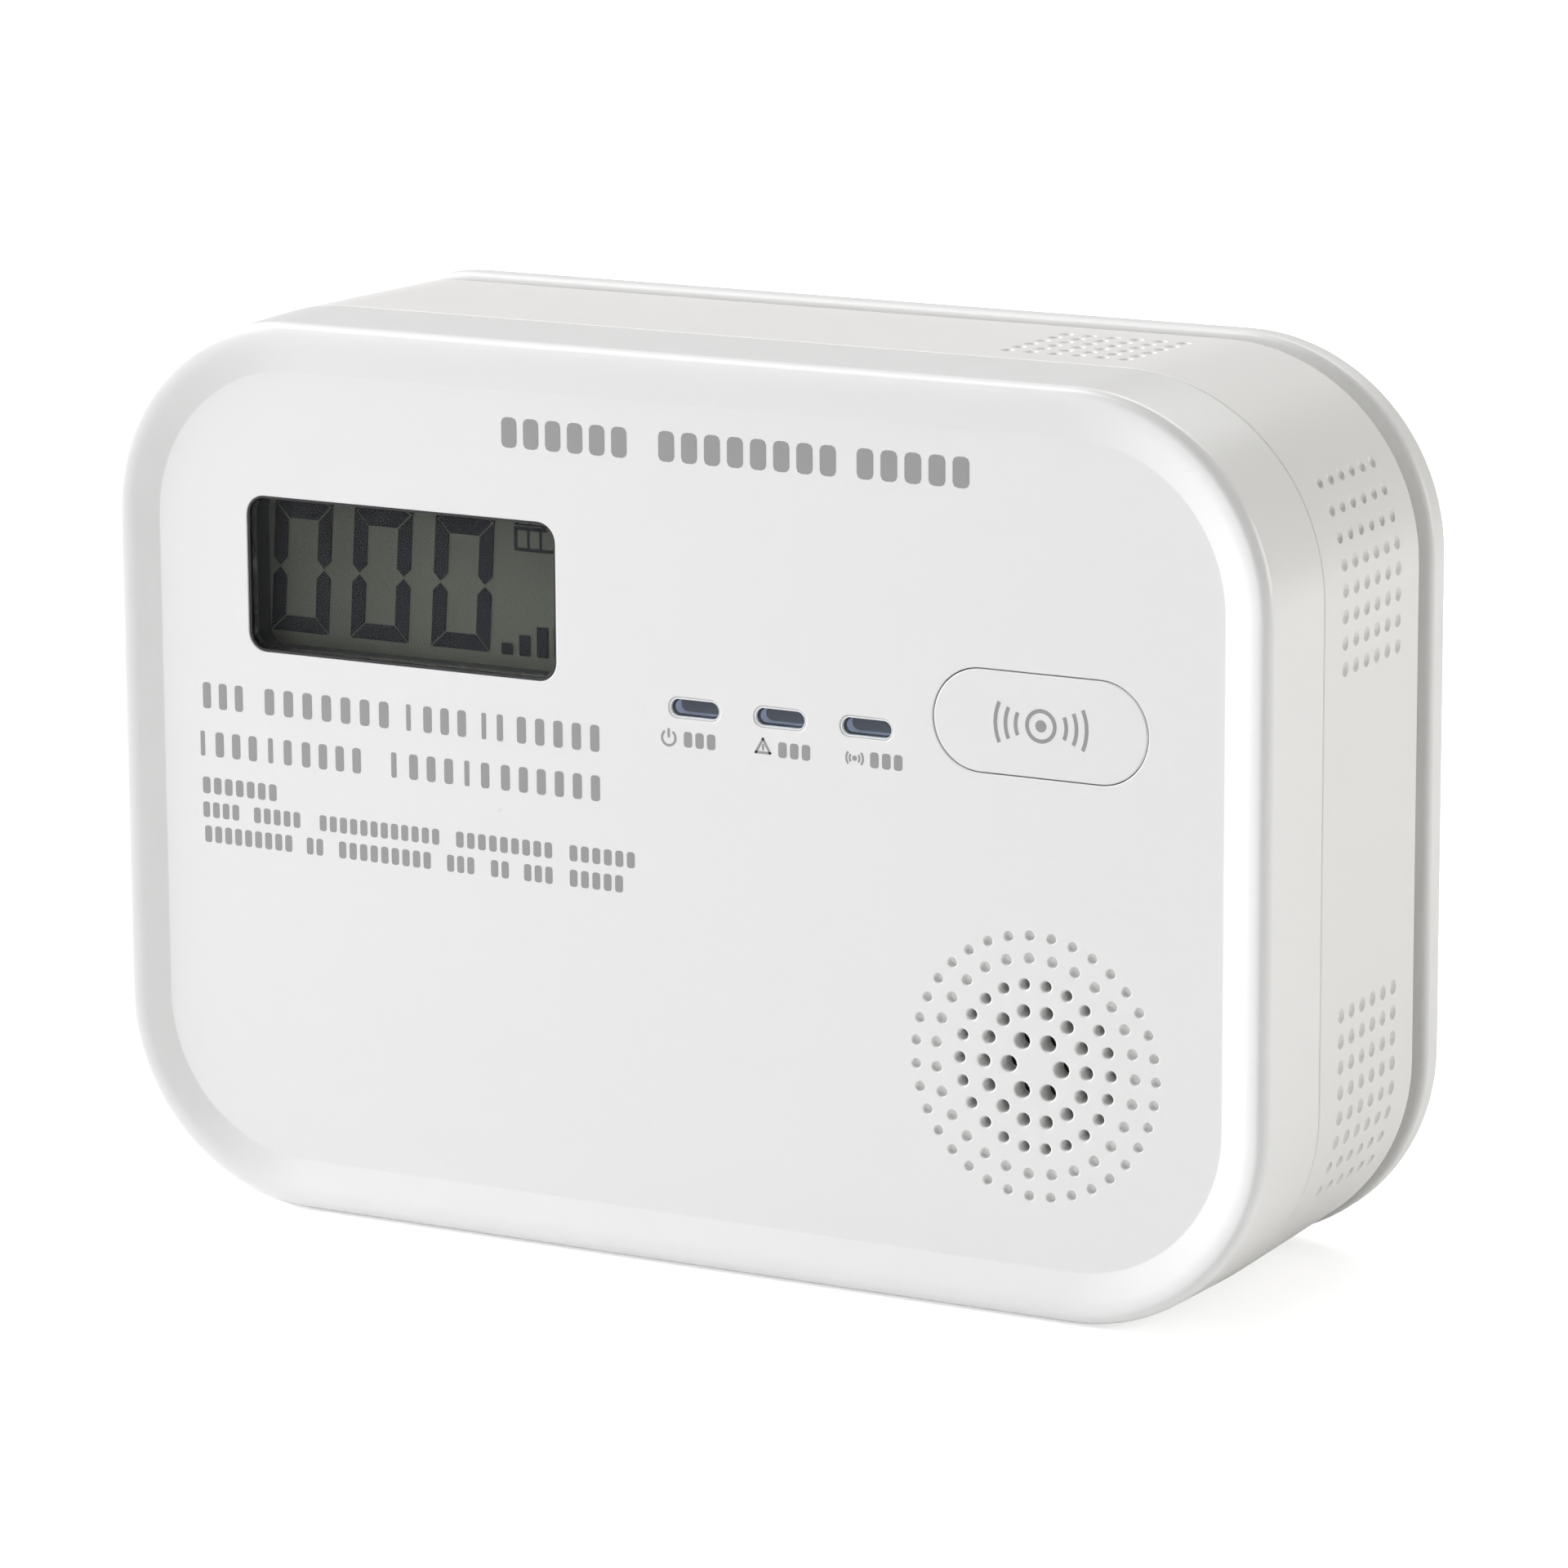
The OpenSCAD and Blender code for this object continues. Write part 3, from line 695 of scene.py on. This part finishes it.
slant = math.tan(math.radians(DIGIT_SLANT))
lean = Matrix(((1, slant, 0, -slant * DIGIT_MIDS[0][1]), (0, 1, 0, 0), (0, 0, 1, 0), (0, 0, 0, 1)))
bmesh.ops.transform(digits, matrix=lean, verts=digits.verts)
for across, size in ((0, (4.4, 2.3)), (2.5, (0.6, 1.2))):
    spot = ICON_MID + Vector((across, 0))
    slab(digits, spot, size, 0.15, mark_low, mark_high - 0.01, segments=2)
for k, height in enumerate(LEVEL_HEIGHTS):
    spot = LEVEL_FOOT + Vector((LEVEL_PITCH * k, height / 2))
    slab(digits, spot, (1.2, height), 0.15, mark_low, mark_high, segments=2)
segment_ink = moulded(
    "liquid_crystal_segment", (0.010, 0.011, 0.015), 0.3, flow=0.1, grain_mm=0, Specular_IOR_Level=0.1
)
digit_segments = stand_up(digits, "display_segments", segment_ink)
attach(digit_segments, "housing")

charge = bmesh.new()
for k in (-1, 0, 1):
    spot = ICON_MID + Vector((1.3 * k, 0))
    slab(charge, spot, (1.0, 1.6), 0.1, mark_high - 0.05, mark_high + 0.01, segments=2)
charge_marks = stand_up(charge, "display_charge_marks", lcd_glass)
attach(charge_marks, "housing")


# ---- Light windows -----------------------------------------------------------------------------
# Three clear acrylic pipes carry the lights on the board to the face. Each is a hollow moulding with
# a lens across its front, and a flange behind the cover. A milky sleeve round it fills the opening.
# Its faint glow is painted light: an emission that stands in for the light coming in through the lens.

PIPE_END = 7.2
PIPE_WALL = 0.16
PIPE_GAP = 0.05
PIPE_FLANGE = 0.9
LENS_TOP = 0.2
LENS_D = 0.7
SLEEVE_D = 2.0
clear_pipe = clear_plastic("clear_pipe", (0.80, 0.86, 0.97), 0.02, PIPE_IOR, 0.94)
# The sleeve's emission is a painted glow, for the light that comes in through the lens and lights its
# walls.
milky_sleeve_painted_glow = moulded("milky_sleeve_painted_glow", (0.70, 0.71, 0.72), 0.3, grain_mm=0, Emission_Strength=0.16)
milky_sleeve_painted_glow.node_tree.nodes["Principled BSDF"].inputs["Emission Color"].default_value = (1, 1, 1, 1)
led_body = moulded("led_package", (0.75, 0.70, 0.45), 0.35, flow=0.05)
pipe_size = light_size - Vector((2, 2)) * PIPE_GAP
lens_size = pipe_size - Vector((2, 2)) * PIPE_WALL
flange_inset = PIPE_FLANGE + PIPE_GAP + PIPE_WALL
for light, spot in zip(("power", "fault", "alarm"), light_mids):
    pipe = bmesh.new()
    wide = light_size + Vector((2, 2)) * PIPE_FLANGE
    foot = outline(pipe, spot, wide, wide.y / 2, -FLANGE_BASE, 8)
    follow(pipe, foot, [(0, FLANGE_BASE - FLANGE_TOP), (flange_inset, 0)])
    follow(pipe, foot, [(0, FLANGE_TOP - LENS_TOP - 0.15)] + bend(0.15, 90, 0, 3))
    base = close(pipe)
    follow(pipe, base, [(flange_inset, 0), (0, PIPE_END - FLANGE_BASE), (PIPE_WALL, 0)])
    follow(pipe, base, [(0, LENS_D - PIPE_END)])
    piece = stand_up(pipe, f"light_pipe_{light}_clear", clear_pipe, sharp=30)
    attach(piece, "housing")
    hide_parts(f"light_pipe_{light}")
    sleeve = bmesh.new()
    slab(sleeve, spot, pipe_size, pipe_size.y / 2, -SLEEVE_D, -0.05, 0.1, segments=8)
    bore = bmesh.new()
    slab(bore, spot, lens_size + Vector((0.04, 0.04)), lens_size.y / 2 + 0.02, -3, 1, segments=8)
    sleeve = combine(sleeve, bore, "DIFFERENCE")
    piece = stand_up(sleeve, f"light_pipe_{light}_sleeve", milky_sleeve_painted_glow, sharp=30)
    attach(piece, "housing")
    finish_node(f"led_{light}", led_body)


# ---- Print on the face -------------------------------------------------------------------------
# Grey pad-printed legends. The words are rows of plain rounded blocks, and each light and the button
# has a small picture: a power mark, a warning triangle, and sound waves.

INK_LOW = -0.02
INK_HIGH = 0.012
TITLE = (-18.0, 30.6, 35.2, 32.4, 0.70, ((0, 0.285, 6), (0.338, 0.726, 8), (0.754, 1, 5)))
HEADINGS = (
    (-51.4, -7.2, 7.5, 5.0, 0.5, (
        (0.004, 0.125, 3), (0.158, 0.49, 7), (0.516, 0.538, 1), (0.553, 0.678, 3), (0.7, 0.722, 1),
        (0.735, 0.765, 1), (0.78, 1, 5),
    )),
    (-51.4, -7.2, 2.8, 0.4, 0.5, (
        (0, 0.022, 1), (0.033, 0.158, 3), (0.17, 0.194, 1), (0.205, 0.245, 1), (0.25, 0.418, 4),
        (0.476, 0.502, 1), (0.516, 0.645, 3), (0.656, 0.68, 1), (0.692, 0.733, 1), (0.74, 1, 6),
    )),
)
NOTES = (
    (-51.2, -3.9, -1.6, -3.2, 0.68, ((0, 0.182, 7),)),
    (-51.2, -3.9, -4.0, -5.5, 0.68, (
        (0, 0.092, 4), (0.12, 0.236, 5), (0.274, 0.558, 12), (0.589, 0.815, 9), (0.846, 1, 6),
    )),
    (-51.2, -3.9, -6.3, -7.9, 0.68, (
        (0.003, 0.216, 9), (0.243, 0.288, 2), (0.318, 0.538, 9), (0.568, 0.637, 3),
        (0.668, 0.716, 2), (0.743, 0.815, 3), (0.846, 0.973, 5),
    )),
)
BLOCK_SHARE = 0.72
PICTURE_LEFTS = (-1.3, 8.45, 17.8)
PICTURE_Z = 7.08
BUTTON_MARK = (37.3, 11.8)


def printed_word(bm, left, right, top, foot, share, count):
    """One word as a row of plain rounded blocks, that fill a share of it."""
    pitch = (right - left) / count
    size = (pitch * share, top - foot)
    for k in range(count):
        middle = (left + (k + 0.5) * pitch, (top + foot) / 2)
        slab(bm, middle, size, size[0] * 0.3, INK_LOW, INK_HIGH, segments=2)


def printed_line(bm, line):
    """A line of words: its left, right, top and foot, and where each word runs."""
    left, right, top, foot, share, words = line
    wide = right - left
    for start, end, count in words:
        printed_word(bm, left + start * wide, left + end * wide, top, foot, share, count)


def printed_ring(bm, middle, radius, line):
    """A whole ring of ink."""
    face = outline(bm, middle, (2 * radius,) * 2, radius, INK_LOW, segments=8)
    follow(bm, face, [(0, INK_HIGH - INK_LOW), (line, 0), (0, INK_LOW - INK_HIGH)])
    close(bm)


def printed_arc(bm, middle, radius, line, start, sweep):
    """Part of a ring of ink, as the end of the line spun about the ring's middle."""
    spot = (
        Matrix.Translation((*middle, (INK_LOW + INK_HIGH) / 2))
        @ Matrix.Rotation(math.radians(start), 4, "Z")
        @ Matrix.Translation((radius, 0, 0))
        @ Matrix.Rotation(math.pi / 2, 4, "X")
        @ Matrix.Diagonal((line, INK_HIGH - INK_LOW, 1, 1))
    )
    end = bmesh.ops.create_grid(bm, x_segments=1, y_segments=1, size=0.5, matrix=spot)["verts"]
    face = end[0].link_faces[0]
    bmesh.ops.spin(
        bm, geom=[*face.verts, *face.edges, face], cent=(*middle, 0), axis=(0, 0, 1),
        angle=math.radians(sweep), steps=max(6, int(sweep / 10)), use_duplicate=False,
    )


ink = bmesh.new()
for line in (TITLE, *HEADINGS, *NOTES):
    printed_line(ink, line)
for k, left in enumerate(PICTURE_LEFTS):
    icon = (left + 0.9, PICTURE_Z)
    if k == 0:
        printed_arc(ink, icon, 0.7, 0.24, 125, 290)
        slab(ink, (icon[0], icon[1] + 0.45), (0.26, 0.9), 0.12, INK_LOW, INK_HIGH, segments=2)
    elif k == 1:
        for turn in (0, 120, 240):
            lean_to = Matrix.Translation((*icon, 0)) @ Matrix.Rotation(math.radians(turn), 4, "Z")
            slab(ink, (0, -0.42), (1.7, 0.24), 0.1, INK_LOW, INK_HIGH, segments=2, turn=lean_to)
        slab(ink, (icon[0], icon[1] + 0.08), (0.22, 0.62), 0.1, INK_LOW, INK_HIGH, segments=2)
    else:
        slab(ink, icon, (0.5, 0.5), 0.25, INK_LOW, INK_HIGH, segments=3)
        for radius in (0.5, 0.85):
            for start in (-40, 140):
                printed_arc(ink, icon, radius, 0.2, start, 80)
    printed_word(ink, left + 2.3, left + 5.9, PICTURE_Z + 0.72, PICTURE_Z - 0.72, BLOCK_SHARE, 3)
bmesh.ops.recalc_face_normals(ink, faces=ink.faces)
print_ink = moulded("grey_print", (0.33, 0.33, 0.325), 0.5, flow=0.08, patchiness=0.1)
face_print = stand_up(ink, "face_print", print_ink)
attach(face_print, "housing")

ink = bmesh.new()
printed_ring(ink, BUTTON_MARK, 1.55, 0.36)
slab(ink, BUTTON_MARK, (1.1, 1.1), 0.55, INK_LOW, INK_HIGH, segments=4)
for radius in (2.5, 3.5, 4.5):
    for start in (-24, 156):
        printed_arc(ink, BUTTON_MARK, radius, 0.36, start, 48)
bmesh.ops.recalc_face_normals(ink, faces=ink.faces)
button_print = stand_up(ink, "button_print", print_ink)
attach(button_print, "button")


# ---- Sounder, screen and sensor ----------------------------------------------------------------
# Behind the grille are a fine woven screen and a piezo disc in a black chamber. The sensor is a
# drawn steel can behind the board, with a filter cap at its end.

# Drawn metal: fine lines along one way in its height, and patches of tarnish in its colour and gloss.
drawing, given, made = finish_group(
    "drawn_metal",
    [
        ("Colour", "NodeSocketColor", (0.6, 0.6, 0.6, 1)), ("Roughness", "NodeSocketFloat", 0.3),
        ("Tarnish", "NodeSocketFloat", 0.1),
    ],
    [("Colour", "NodeSocketColor"), ("Roughness", "NodeSocketFloat"), ("Height", "NodeSocketFloat")],
)
where = drawing.nodes.new("ShaderNodeTexCoord")
along = drawing.nodes.new("ShaderNodeMapping")
along.inputs["Scale"].default_value = (1, 1, 30)
drawing.links.new(where.outputs["Object"], along.inputs["Vector"])
lines = drawing.nodes.new("ShaderNodeTexNoise")
lines.inputs["Scale"].default_value = 0.3 / MM
drawing.links.new(along.outputs[0], lines.inputs["Vector"])
stain = noise(drawing, 0.4, 3.0)
dull = maths(drawing, "MULTIPLY", stain.outputs[0], given.outputs["Tarnish"])
tint = drawing.nodes.new("ShaderNodeVectorMath")
tint.operation = "SCALE"
drawing.links.new(given.outputs["Colour"], tint.inputs[0])
drawing.links.new(maths(drawing, "SUBTRACT", 1.0, dull), tint.inputs["Scale"])
drawing.links.new(tint.outputs[0], made.inputs["Colour"])
drawing.links.new(maths(drawing, "ADD", given.outputs["Roughness"], dull), made.inputs["Roughness"])
drawing.links.new(lines.outputs[0], made.inputs["Height"])


def drawn(name, colour, roughness, tarnish=0.15, line_mm=0.004):
    """A drawn, stamped or plated metal."""
    material = bpy.data.materials.new(name)
    material.use_nodes = True
    tree = material.node_tree
    shader = tree.nodes["Principled BSDF"]
    shader.inputs["Metallic"].default_value = 1.0
    finish = tree.nodes.new("ShaderNodeGroup")
    finish.node_tree = drawing
    finish.inputs["Colour"].default_value = (*colour, 1)
    finish.inputs["Roughness"].default_value = roughness
    finish.inputs["Tarnish"].default_value = tarnish
    bump = tree.nodes.new("ShaderNodeBump")
    bump.inputs["Distance"].default_value = line_mm * MM
    tree.links.new(finish.outputs["Colour"], shader.inputs["Base Color"])
    tree.links.new(finish.outputs["Roughness"], shader.inputs["Roughness"])
    tree.links.new(finish.outputs["Height"], bump.inputs["Height"])
    tree.links.new(bump.outputs[0], shader.inputs["Normal"])
    return material


steel = drawn("drawn_steel", (0.56, 0.57, 0.58), 0.28)
black_abs = moulded("black_abs", (0.02, 0.02, 0.022), 0.42, patchiness=0.1)
finish_node("sounder_housing", black_abs)
finish_node("grille_screen", moulded("screen_weave", (0.035, 0.033, 0.03), 0.65, flow=0.3, grain_mm=0.06))
finish_node("sounder_disc", drawn("piezo_brass", (0.78, 0.58, 0.27), 0.3, tarnish=0.2))
finish_node("sensor_can", steel)
finish_node("sensor_filter", moulded("filter_felt", (0.05, 0.05, 0.055), 0.9, flow=0.2, grain_mm=0.05))


# ---- Circuit board -----------------------------------------------------------------------------
# A green glass fibre board that three screws hold to the cover's posts, with the controller and
# driver chips, a capacitor, a coil, and the switch under the test button.

board_green = bpy.data.materials.new("solder_mask")
board_green.use_nodes = True
tree = board_green.node_tree
shader = tree.nodes["Principled BSDF"]
where = tree.nodes.new("ShaderNodeTexCoord")
lay = tree.nodes.new("ShaderNodeMapping")
lay.inputs["Rotation"].default_value = (math.radians(90), 0, 0)
tracks = tree.nodes.new("ShaderNodeTexBrick")
tracks.inputs["Scale"].default_value = 0.12 / MM
tracks.inputs["Mortar Size"].default_value = 0.035
tracks.inputs["Color1"].default_value = (0.012, 0.10, 0.035, 1)
tracks.inputs["Color2"].default_value = (0.014, 0.12, 0.045, 1)
tracks.inputs["Mortar"].default_value = (0.03, 0.2, 0.08, 1)
tree.links.new(where.outputs["Object"], lay.inputs["Vector"])
tree.links.new(lay.outputs[0], tracks.inputs["Vector"])
tree.links.new(tracks.outputs["Color"], shader.inputs["Base Color"])
tree.links.new(span(tree, tracks.outputs["Fac"], 0.4, 0.25), shader.inputs["Roughness"])
finish_node("circuit_board", board_green)
finish_node("switch_body", black_abs)
finish_node("switch_plunger", moulded("switch_nylon", (0.03, 0.03, 0.035), 0.35))
chip_epoxy = moulded("chip_epoxy", (0.03, 0.03, 0.032), 0.55, flow=0.1, grain_mm=0.012)
finish_node("microcontroller", chip_epoxy)
finish_node("driver_chip", chip_epoxy)
finish_node("capacitor", moulded("capacitor_sleeve", (0.035, 0.05, 0.14), 0.3))
finish_node("inductor", moulded("ferrite", (0.12, 0.10, 0.09), 0.6, flow=0.2, grain_mm=0.02))
screw_zinc = drawn("zinc_screw", (0.62, 0.62, 0.6), 0.3, tarnish=0.25)
finish_node("board_screws", screw_zinc)
finish_node("case_screws", screw_zinc)


# ---- Batteries and their contacts --------------------------------------------------------------
# Three cylindrical cells lie side by side, each turned end for end from the next. Each has a steel
# can with a raised nub, and a printed film jacket shrunk round it. A flat plated contact is at the
# nub's end, and a conical wire spring at the other.

CELL_R = 7.25
JACKET_T = 0.12
WIRE_R = 0.4
SPRING_TURNS = 3
SPRING_R = (4.4, 2.7)
plated = drawn("nickel_plate", (0.66, 0.64, 0.6), 0.22, tarnish=0.12)

jacket_film = moulded("cell_jacket_film", (0.02, 0.022, 0.028), 0.3, flow=0.1, grain_mm=0.003)
tree = jacket_film.node_tree
where = tree.nodes.new("ShaderNodeTexCoord")
axes = tree.nodes.new("ShaderNodeSeparateXYZ")
tree.links.new(where.outputs["Object"], axes.inputs[0])
band = maths(tree, "GREATER_THAN", maths(tree, "ABSOLUTE", axes.outputs["X"], 0.0), 14.5 * MM)
stripe = tree.nodes.new("ShaderNodeMix")
stripe.data_type = "RGBA"
finish = next(node for node in tree.nodes if node.type == "GROUP")
tree.links.new(band, stripe.inputs["Factor"])
tree.links.new(finish.outputs["Colour"], stripe.inputs["A"])
stripe.inputs["B"].default_value = (0.42, 0.30, 0.12, 1)
tree.links.new(stripe.outputs["Result"], tree.nodes["Principled BSDF"].inputs["Base Color"])


def spun(bm, profile, place):
    """A closed shape from a profile of (along, radius) points that starts and ends on the axis."""
    verts = [bm.verts.new((0, radius, along)) for along, radius in profile]
    edges = [bm.edges.new(pair) for pair in zip(verts, verts[1:])]
    bmesh.ops.spin(
        bm, geom=verts + edges, cent=(0, 0, 0), axis=(0, 0, 1), angle=math.tau, steps=40,
        use_merge=True, use_duplicate=False,
    )
    bmesh.ops.remove_doubles(bm, verts=bm.verts, dist=0.002)
    bmesh.ops.recalc_face_normals(bm, faces=bm.faces)
    bmesh.ops.transform(bm, matrix=place, verts=bm.verts)


for k in (1, 2, 3):
    low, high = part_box(f"battery_cell_{k}")
    nub_side = -1 if k == 2 else 1
    nub_x = (high.x if nub_side > 0 else low.x) / MM
    axis_mid = (low + high) / 2
    place = (
        Matrix.Translation((nub_x, axis_mid.y / MM, axis_mid.z / MM))
        @ Matrix.Rotation(math.radians(90 * nub_side), 4, "Y")
    )
    stand = Matrix.Scale(MM, 4)
    can = bmesh.new()
    spun(can, (
        (-50.5, 0), (-50.5, 4.2), (-50.3, 4.6), (-50.3, 6.7), (-50.1, 7.0), (-1.7, 7.0), (-1.4, 6.7),
        (-1.3, 5.6), (-1.5, 5.2), (-1.5, 3.2), (-1.3, 2.8), (-0.3, 2.7), (-0.05, 2.5), (0, 2.2), (0, 0),
    ), place)
    piece = stand_up(can, f"battery_can_{k}", steel, place=stand)
    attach(piece, "housing")
    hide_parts(f"battery_cell_{k}")
    jacket = bmesh.new()
    rolled = (
        (-50.45, 5.6), (-50.47, 6.6), (-50.3, 7.1), (-50.0, CELL_R), (-1.9, CELL_R), (-1.5, 7.15),
        (-1.33, 6.7), (-1.31, 6.1), (-1.45, 6.1), (-1.6, 6.9), (-2, CELL_R - JACKET_T),
        (-49.9, CELL_R - JACKET_T), (-50.25, 6.9), (-50.35, 5.6), (-50.45, 5.6),
    )
    spun(jacket, rolled, place)
    piece = stand_up(jacket, f"battery_jacket_{k}", jacket_film, place=stand)
    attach(piece, "housing")

    finish_node(f"contact_plate_{k}", plated)
    low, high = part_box(f"contact_spring_{k}")
    plate_x = (low.x if nub_side > 0 else high.x) / MM
    reach = (high.x - low.x) / MM - 0.45
    wire = bmesh.new()
    ring = bmesh.ops.create_circle(
        wire, cap_ends=True, segments=8, radius=WIRE_R,
        matrix=Matrix.Translation((SPRING_R[0], 0, 0)) @ Matrix.Rotation(math.pi / 2, 4, "X"),
    )["verts"]
    rise = (reach - 2 * WIRE_R) / (SPRING_TURNS * 24)
    bmesh.ops.spin(
        wire, geom=ring + list(wire.edges) + list(wire.faces), cent=(0, 0, 0), axis=(0, 0, 1),
        dvec=(0, 0, rise), angle=math.tau * SPRING_TURNS, steps=24 * SPRING_TURNS, use_duplicate=False,
    )
    for vert in wire.verts:
        part = max(0, min(1, vert.co.z / reach))
        vert.co.xy *= 1 + (SPRING_R[1] / SPRING_R[0] - 1) * part
    bmesh.ops.translate(wire, vec=(0, 0, 0.4 + WIRE_R), verts=wire.verts)
    slab(wire, (0, 0), (10, 12), 1.0, 0, 0.4, 0.1, segments=3, steps=2)
    bmesh.ops.recalc_face_normals(wire, faces=wire.faces)
    place = (
        Matrix.Translation((plate_x, axis_mid.y / MM, axis_mid.z / MM))
        @ Matrix.Rotation(math.radians(90 * nub_side), 4, "Y")
    )
    bmesh.ops.transform(wire, matrix=place, verts=wire.verts)
    piece = stand_up(wire, f"contact_spring_{k}_wire", plated, place=stand)
    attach(piece, "housing")
    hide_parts(f"contact_spring_{k}")


# ---- Battery door ------------------------------------------------------------------------------
# A satin white ABS flap that closes the bay. It turns on two short pins along its lower edge, and a
# sprung tongue between two slots latches its upper edge, with ridges for a thumb.

DOOR_T = 2.0
DOOR_TOP = 24.6
KNUCKLE_R = 1.3
PIN_R = 1.0
PIN_OUT = 1.4
door_w = door_size.x - 2 * PIN_OUT
door = bmesh.new()
door_face = (0, (DOOR_TOP + HINGE_Z) / 2)
slab(
    door, door_face, (door_w, DOOR_TOP - HINGE_Z), 0.8, NECK_D - DOOR_T, NECK_D, 0.35, 0.1,
    segments=4, turn=TO_BACK,
)
hinge = bmesh.new()
bar(hinge, door_w / 2 - 0.05, KNUCKLE_R, HINGE_D, HINGE_Z)
door = combine(door, hinge, "UNION")
hinge = bmesh.new()
bar(hinge, door_w / 2 + PIN_OUT, PIN_R, HINGE_D, HINGE_Z)
for x in (-15, 15):
    slab(hinge, (x, 0), (1.2, 36), 0.5, DOOR_T - NECK_D - 0.1, DOOR_T - NECK_D + 0.35, 0.1, segments=3)
door = combine(door, hinge, "UNION")
slots = bmesh.new()
for x in (-7, 7):
    back_opening(slots, (x, DOOR_TOP - 4.2), (0.8, 9.2), 0.35, NECK_D, DOOR_T + 1, mouth=0.1)
for k in range(4):
    back_opening(slots, (0, DOOR_TOP - 3 - 1.6 * k), (10, 0.6), 0.28, NECK_D, 0.4, mouth=0.12)
for k, wide in enumerate((7, 5, 3, 1)):
    back_opening(slots, (0, DOOR_TOP - 14.5 - 0.9 * k), (wide, 0.6), 0.28, NECK_D, 0.25, mouth=0.1)
door = combine(door, slots, "DIFFERENCE")
battery_door = stand_up(door, "battery_door_flap", satin_white)
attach(battery_door, "door")
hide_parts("battery_door")


# ---- Wall plate --------------------------------------------------------------------------------
# A white ABS frame that is screwed to the wall: two level slots and two round holes for screws, a
# window round the battery door, and four tabs that snap into the rear cover. Its back is hollowed
# between the rim, the window's frame and the bosses round the holes.

PLATE_FRONT = 33.4
PLATE_BACK = 37.0
PLATE_EDGES = (0.7, 1.4)
POCKET = 1.6
POCKET_RIM = 3.0
PLATE_WINDOW = Vector((68, 57.8))
WINDOW_MID = (0, -0.8)
SLOT_SIZE = Vector((9, 4.4))
SLOT_X = 46
HOLE_Z = 35.5

plate_white = moulded("plate_white_abs", (0.80, 0.80, 0.79), 0.34, flow=0.015, grain_mm=0.005)
plate = bmesh.new()
rim = outline(plate, (0, 0), case_size, CORNER_R, -PLATE_BACK + PLATE_EDGES[1])
follow(plate, rim, [(0, PLATE_BACK - PLATE_FRONT - sum(PLATE_EDGES))] + bend(PLATE_EDGES[0], 90, 0, 5))
floor_face = close(plate)
follow(plate, floor_face, bend(PLATE_EDGES[1], 90, 0, 6) + [(POCKET_RIM - PLATE_EDGES[1], 0)])
follow(plate, floor_face, [(0.15, -POCKET)])
bosses = bmesh.new()
pocket_d = PLATE_BACK - POCKET - 0.2
slab(bosses, WINDOW_MID, PLATE_WINDOW + Vector((5, 5)), 6, -PLATE_BACK, -pocket_d, base_r=0.3)
plate = combine(plate, bosses, "UNION")
bosses = bmesh.new()
for x in (-SLOT_X, SLOT_X):
    size = SLOT_SIZE + Vector((7, 7))
    slab(bosses, (x, 0), size, size.y / 2, -PLATE_BACK, -pocket_d, base_r=0.3)
for z in (-HOLE_Z, HOLE_Z):
    slab(bosses, (0, z), (10.4, 10.4), 5.2, -PLATE_BACK, -pocket_d, base_r=0.3)
for spot in SNAP_SPOTS:
    slab(bosses, spot, (8, 1.6), 0.4, -PLATE_FRONT - 0.1, -27.8, 0.35, segments=3)
plate = combine(plate, bosses, "UNION")
cuts = bmesh.new()
opening(cuts, WINDOW_MID, PLATE_WINDOW, 4, -PLATE_FRONT, 5, 0.4)
for x in (-SLOT_X, SLOT_X):
    opening(cuts, (x, 0), SLOT_SIZE, SLOT_SIZE.y / 2, -PLATE_FRONT, 5, 0.3)
for z in (-HOLE_Z, HOLE_Z):
    opening(cuts, (0, z), (SLOT_SIZE.y,) * 2, SLOT_SIZE.y / 2, -PLATE_FRONT, 5, 0.3)
plate = combine(plate, cuts, "DIFFERENCE")
wall_plate = stand_up(plate, "wall_plate_frame", plate_white)
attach(wall_plate, "plate")
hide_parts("wall_plate")
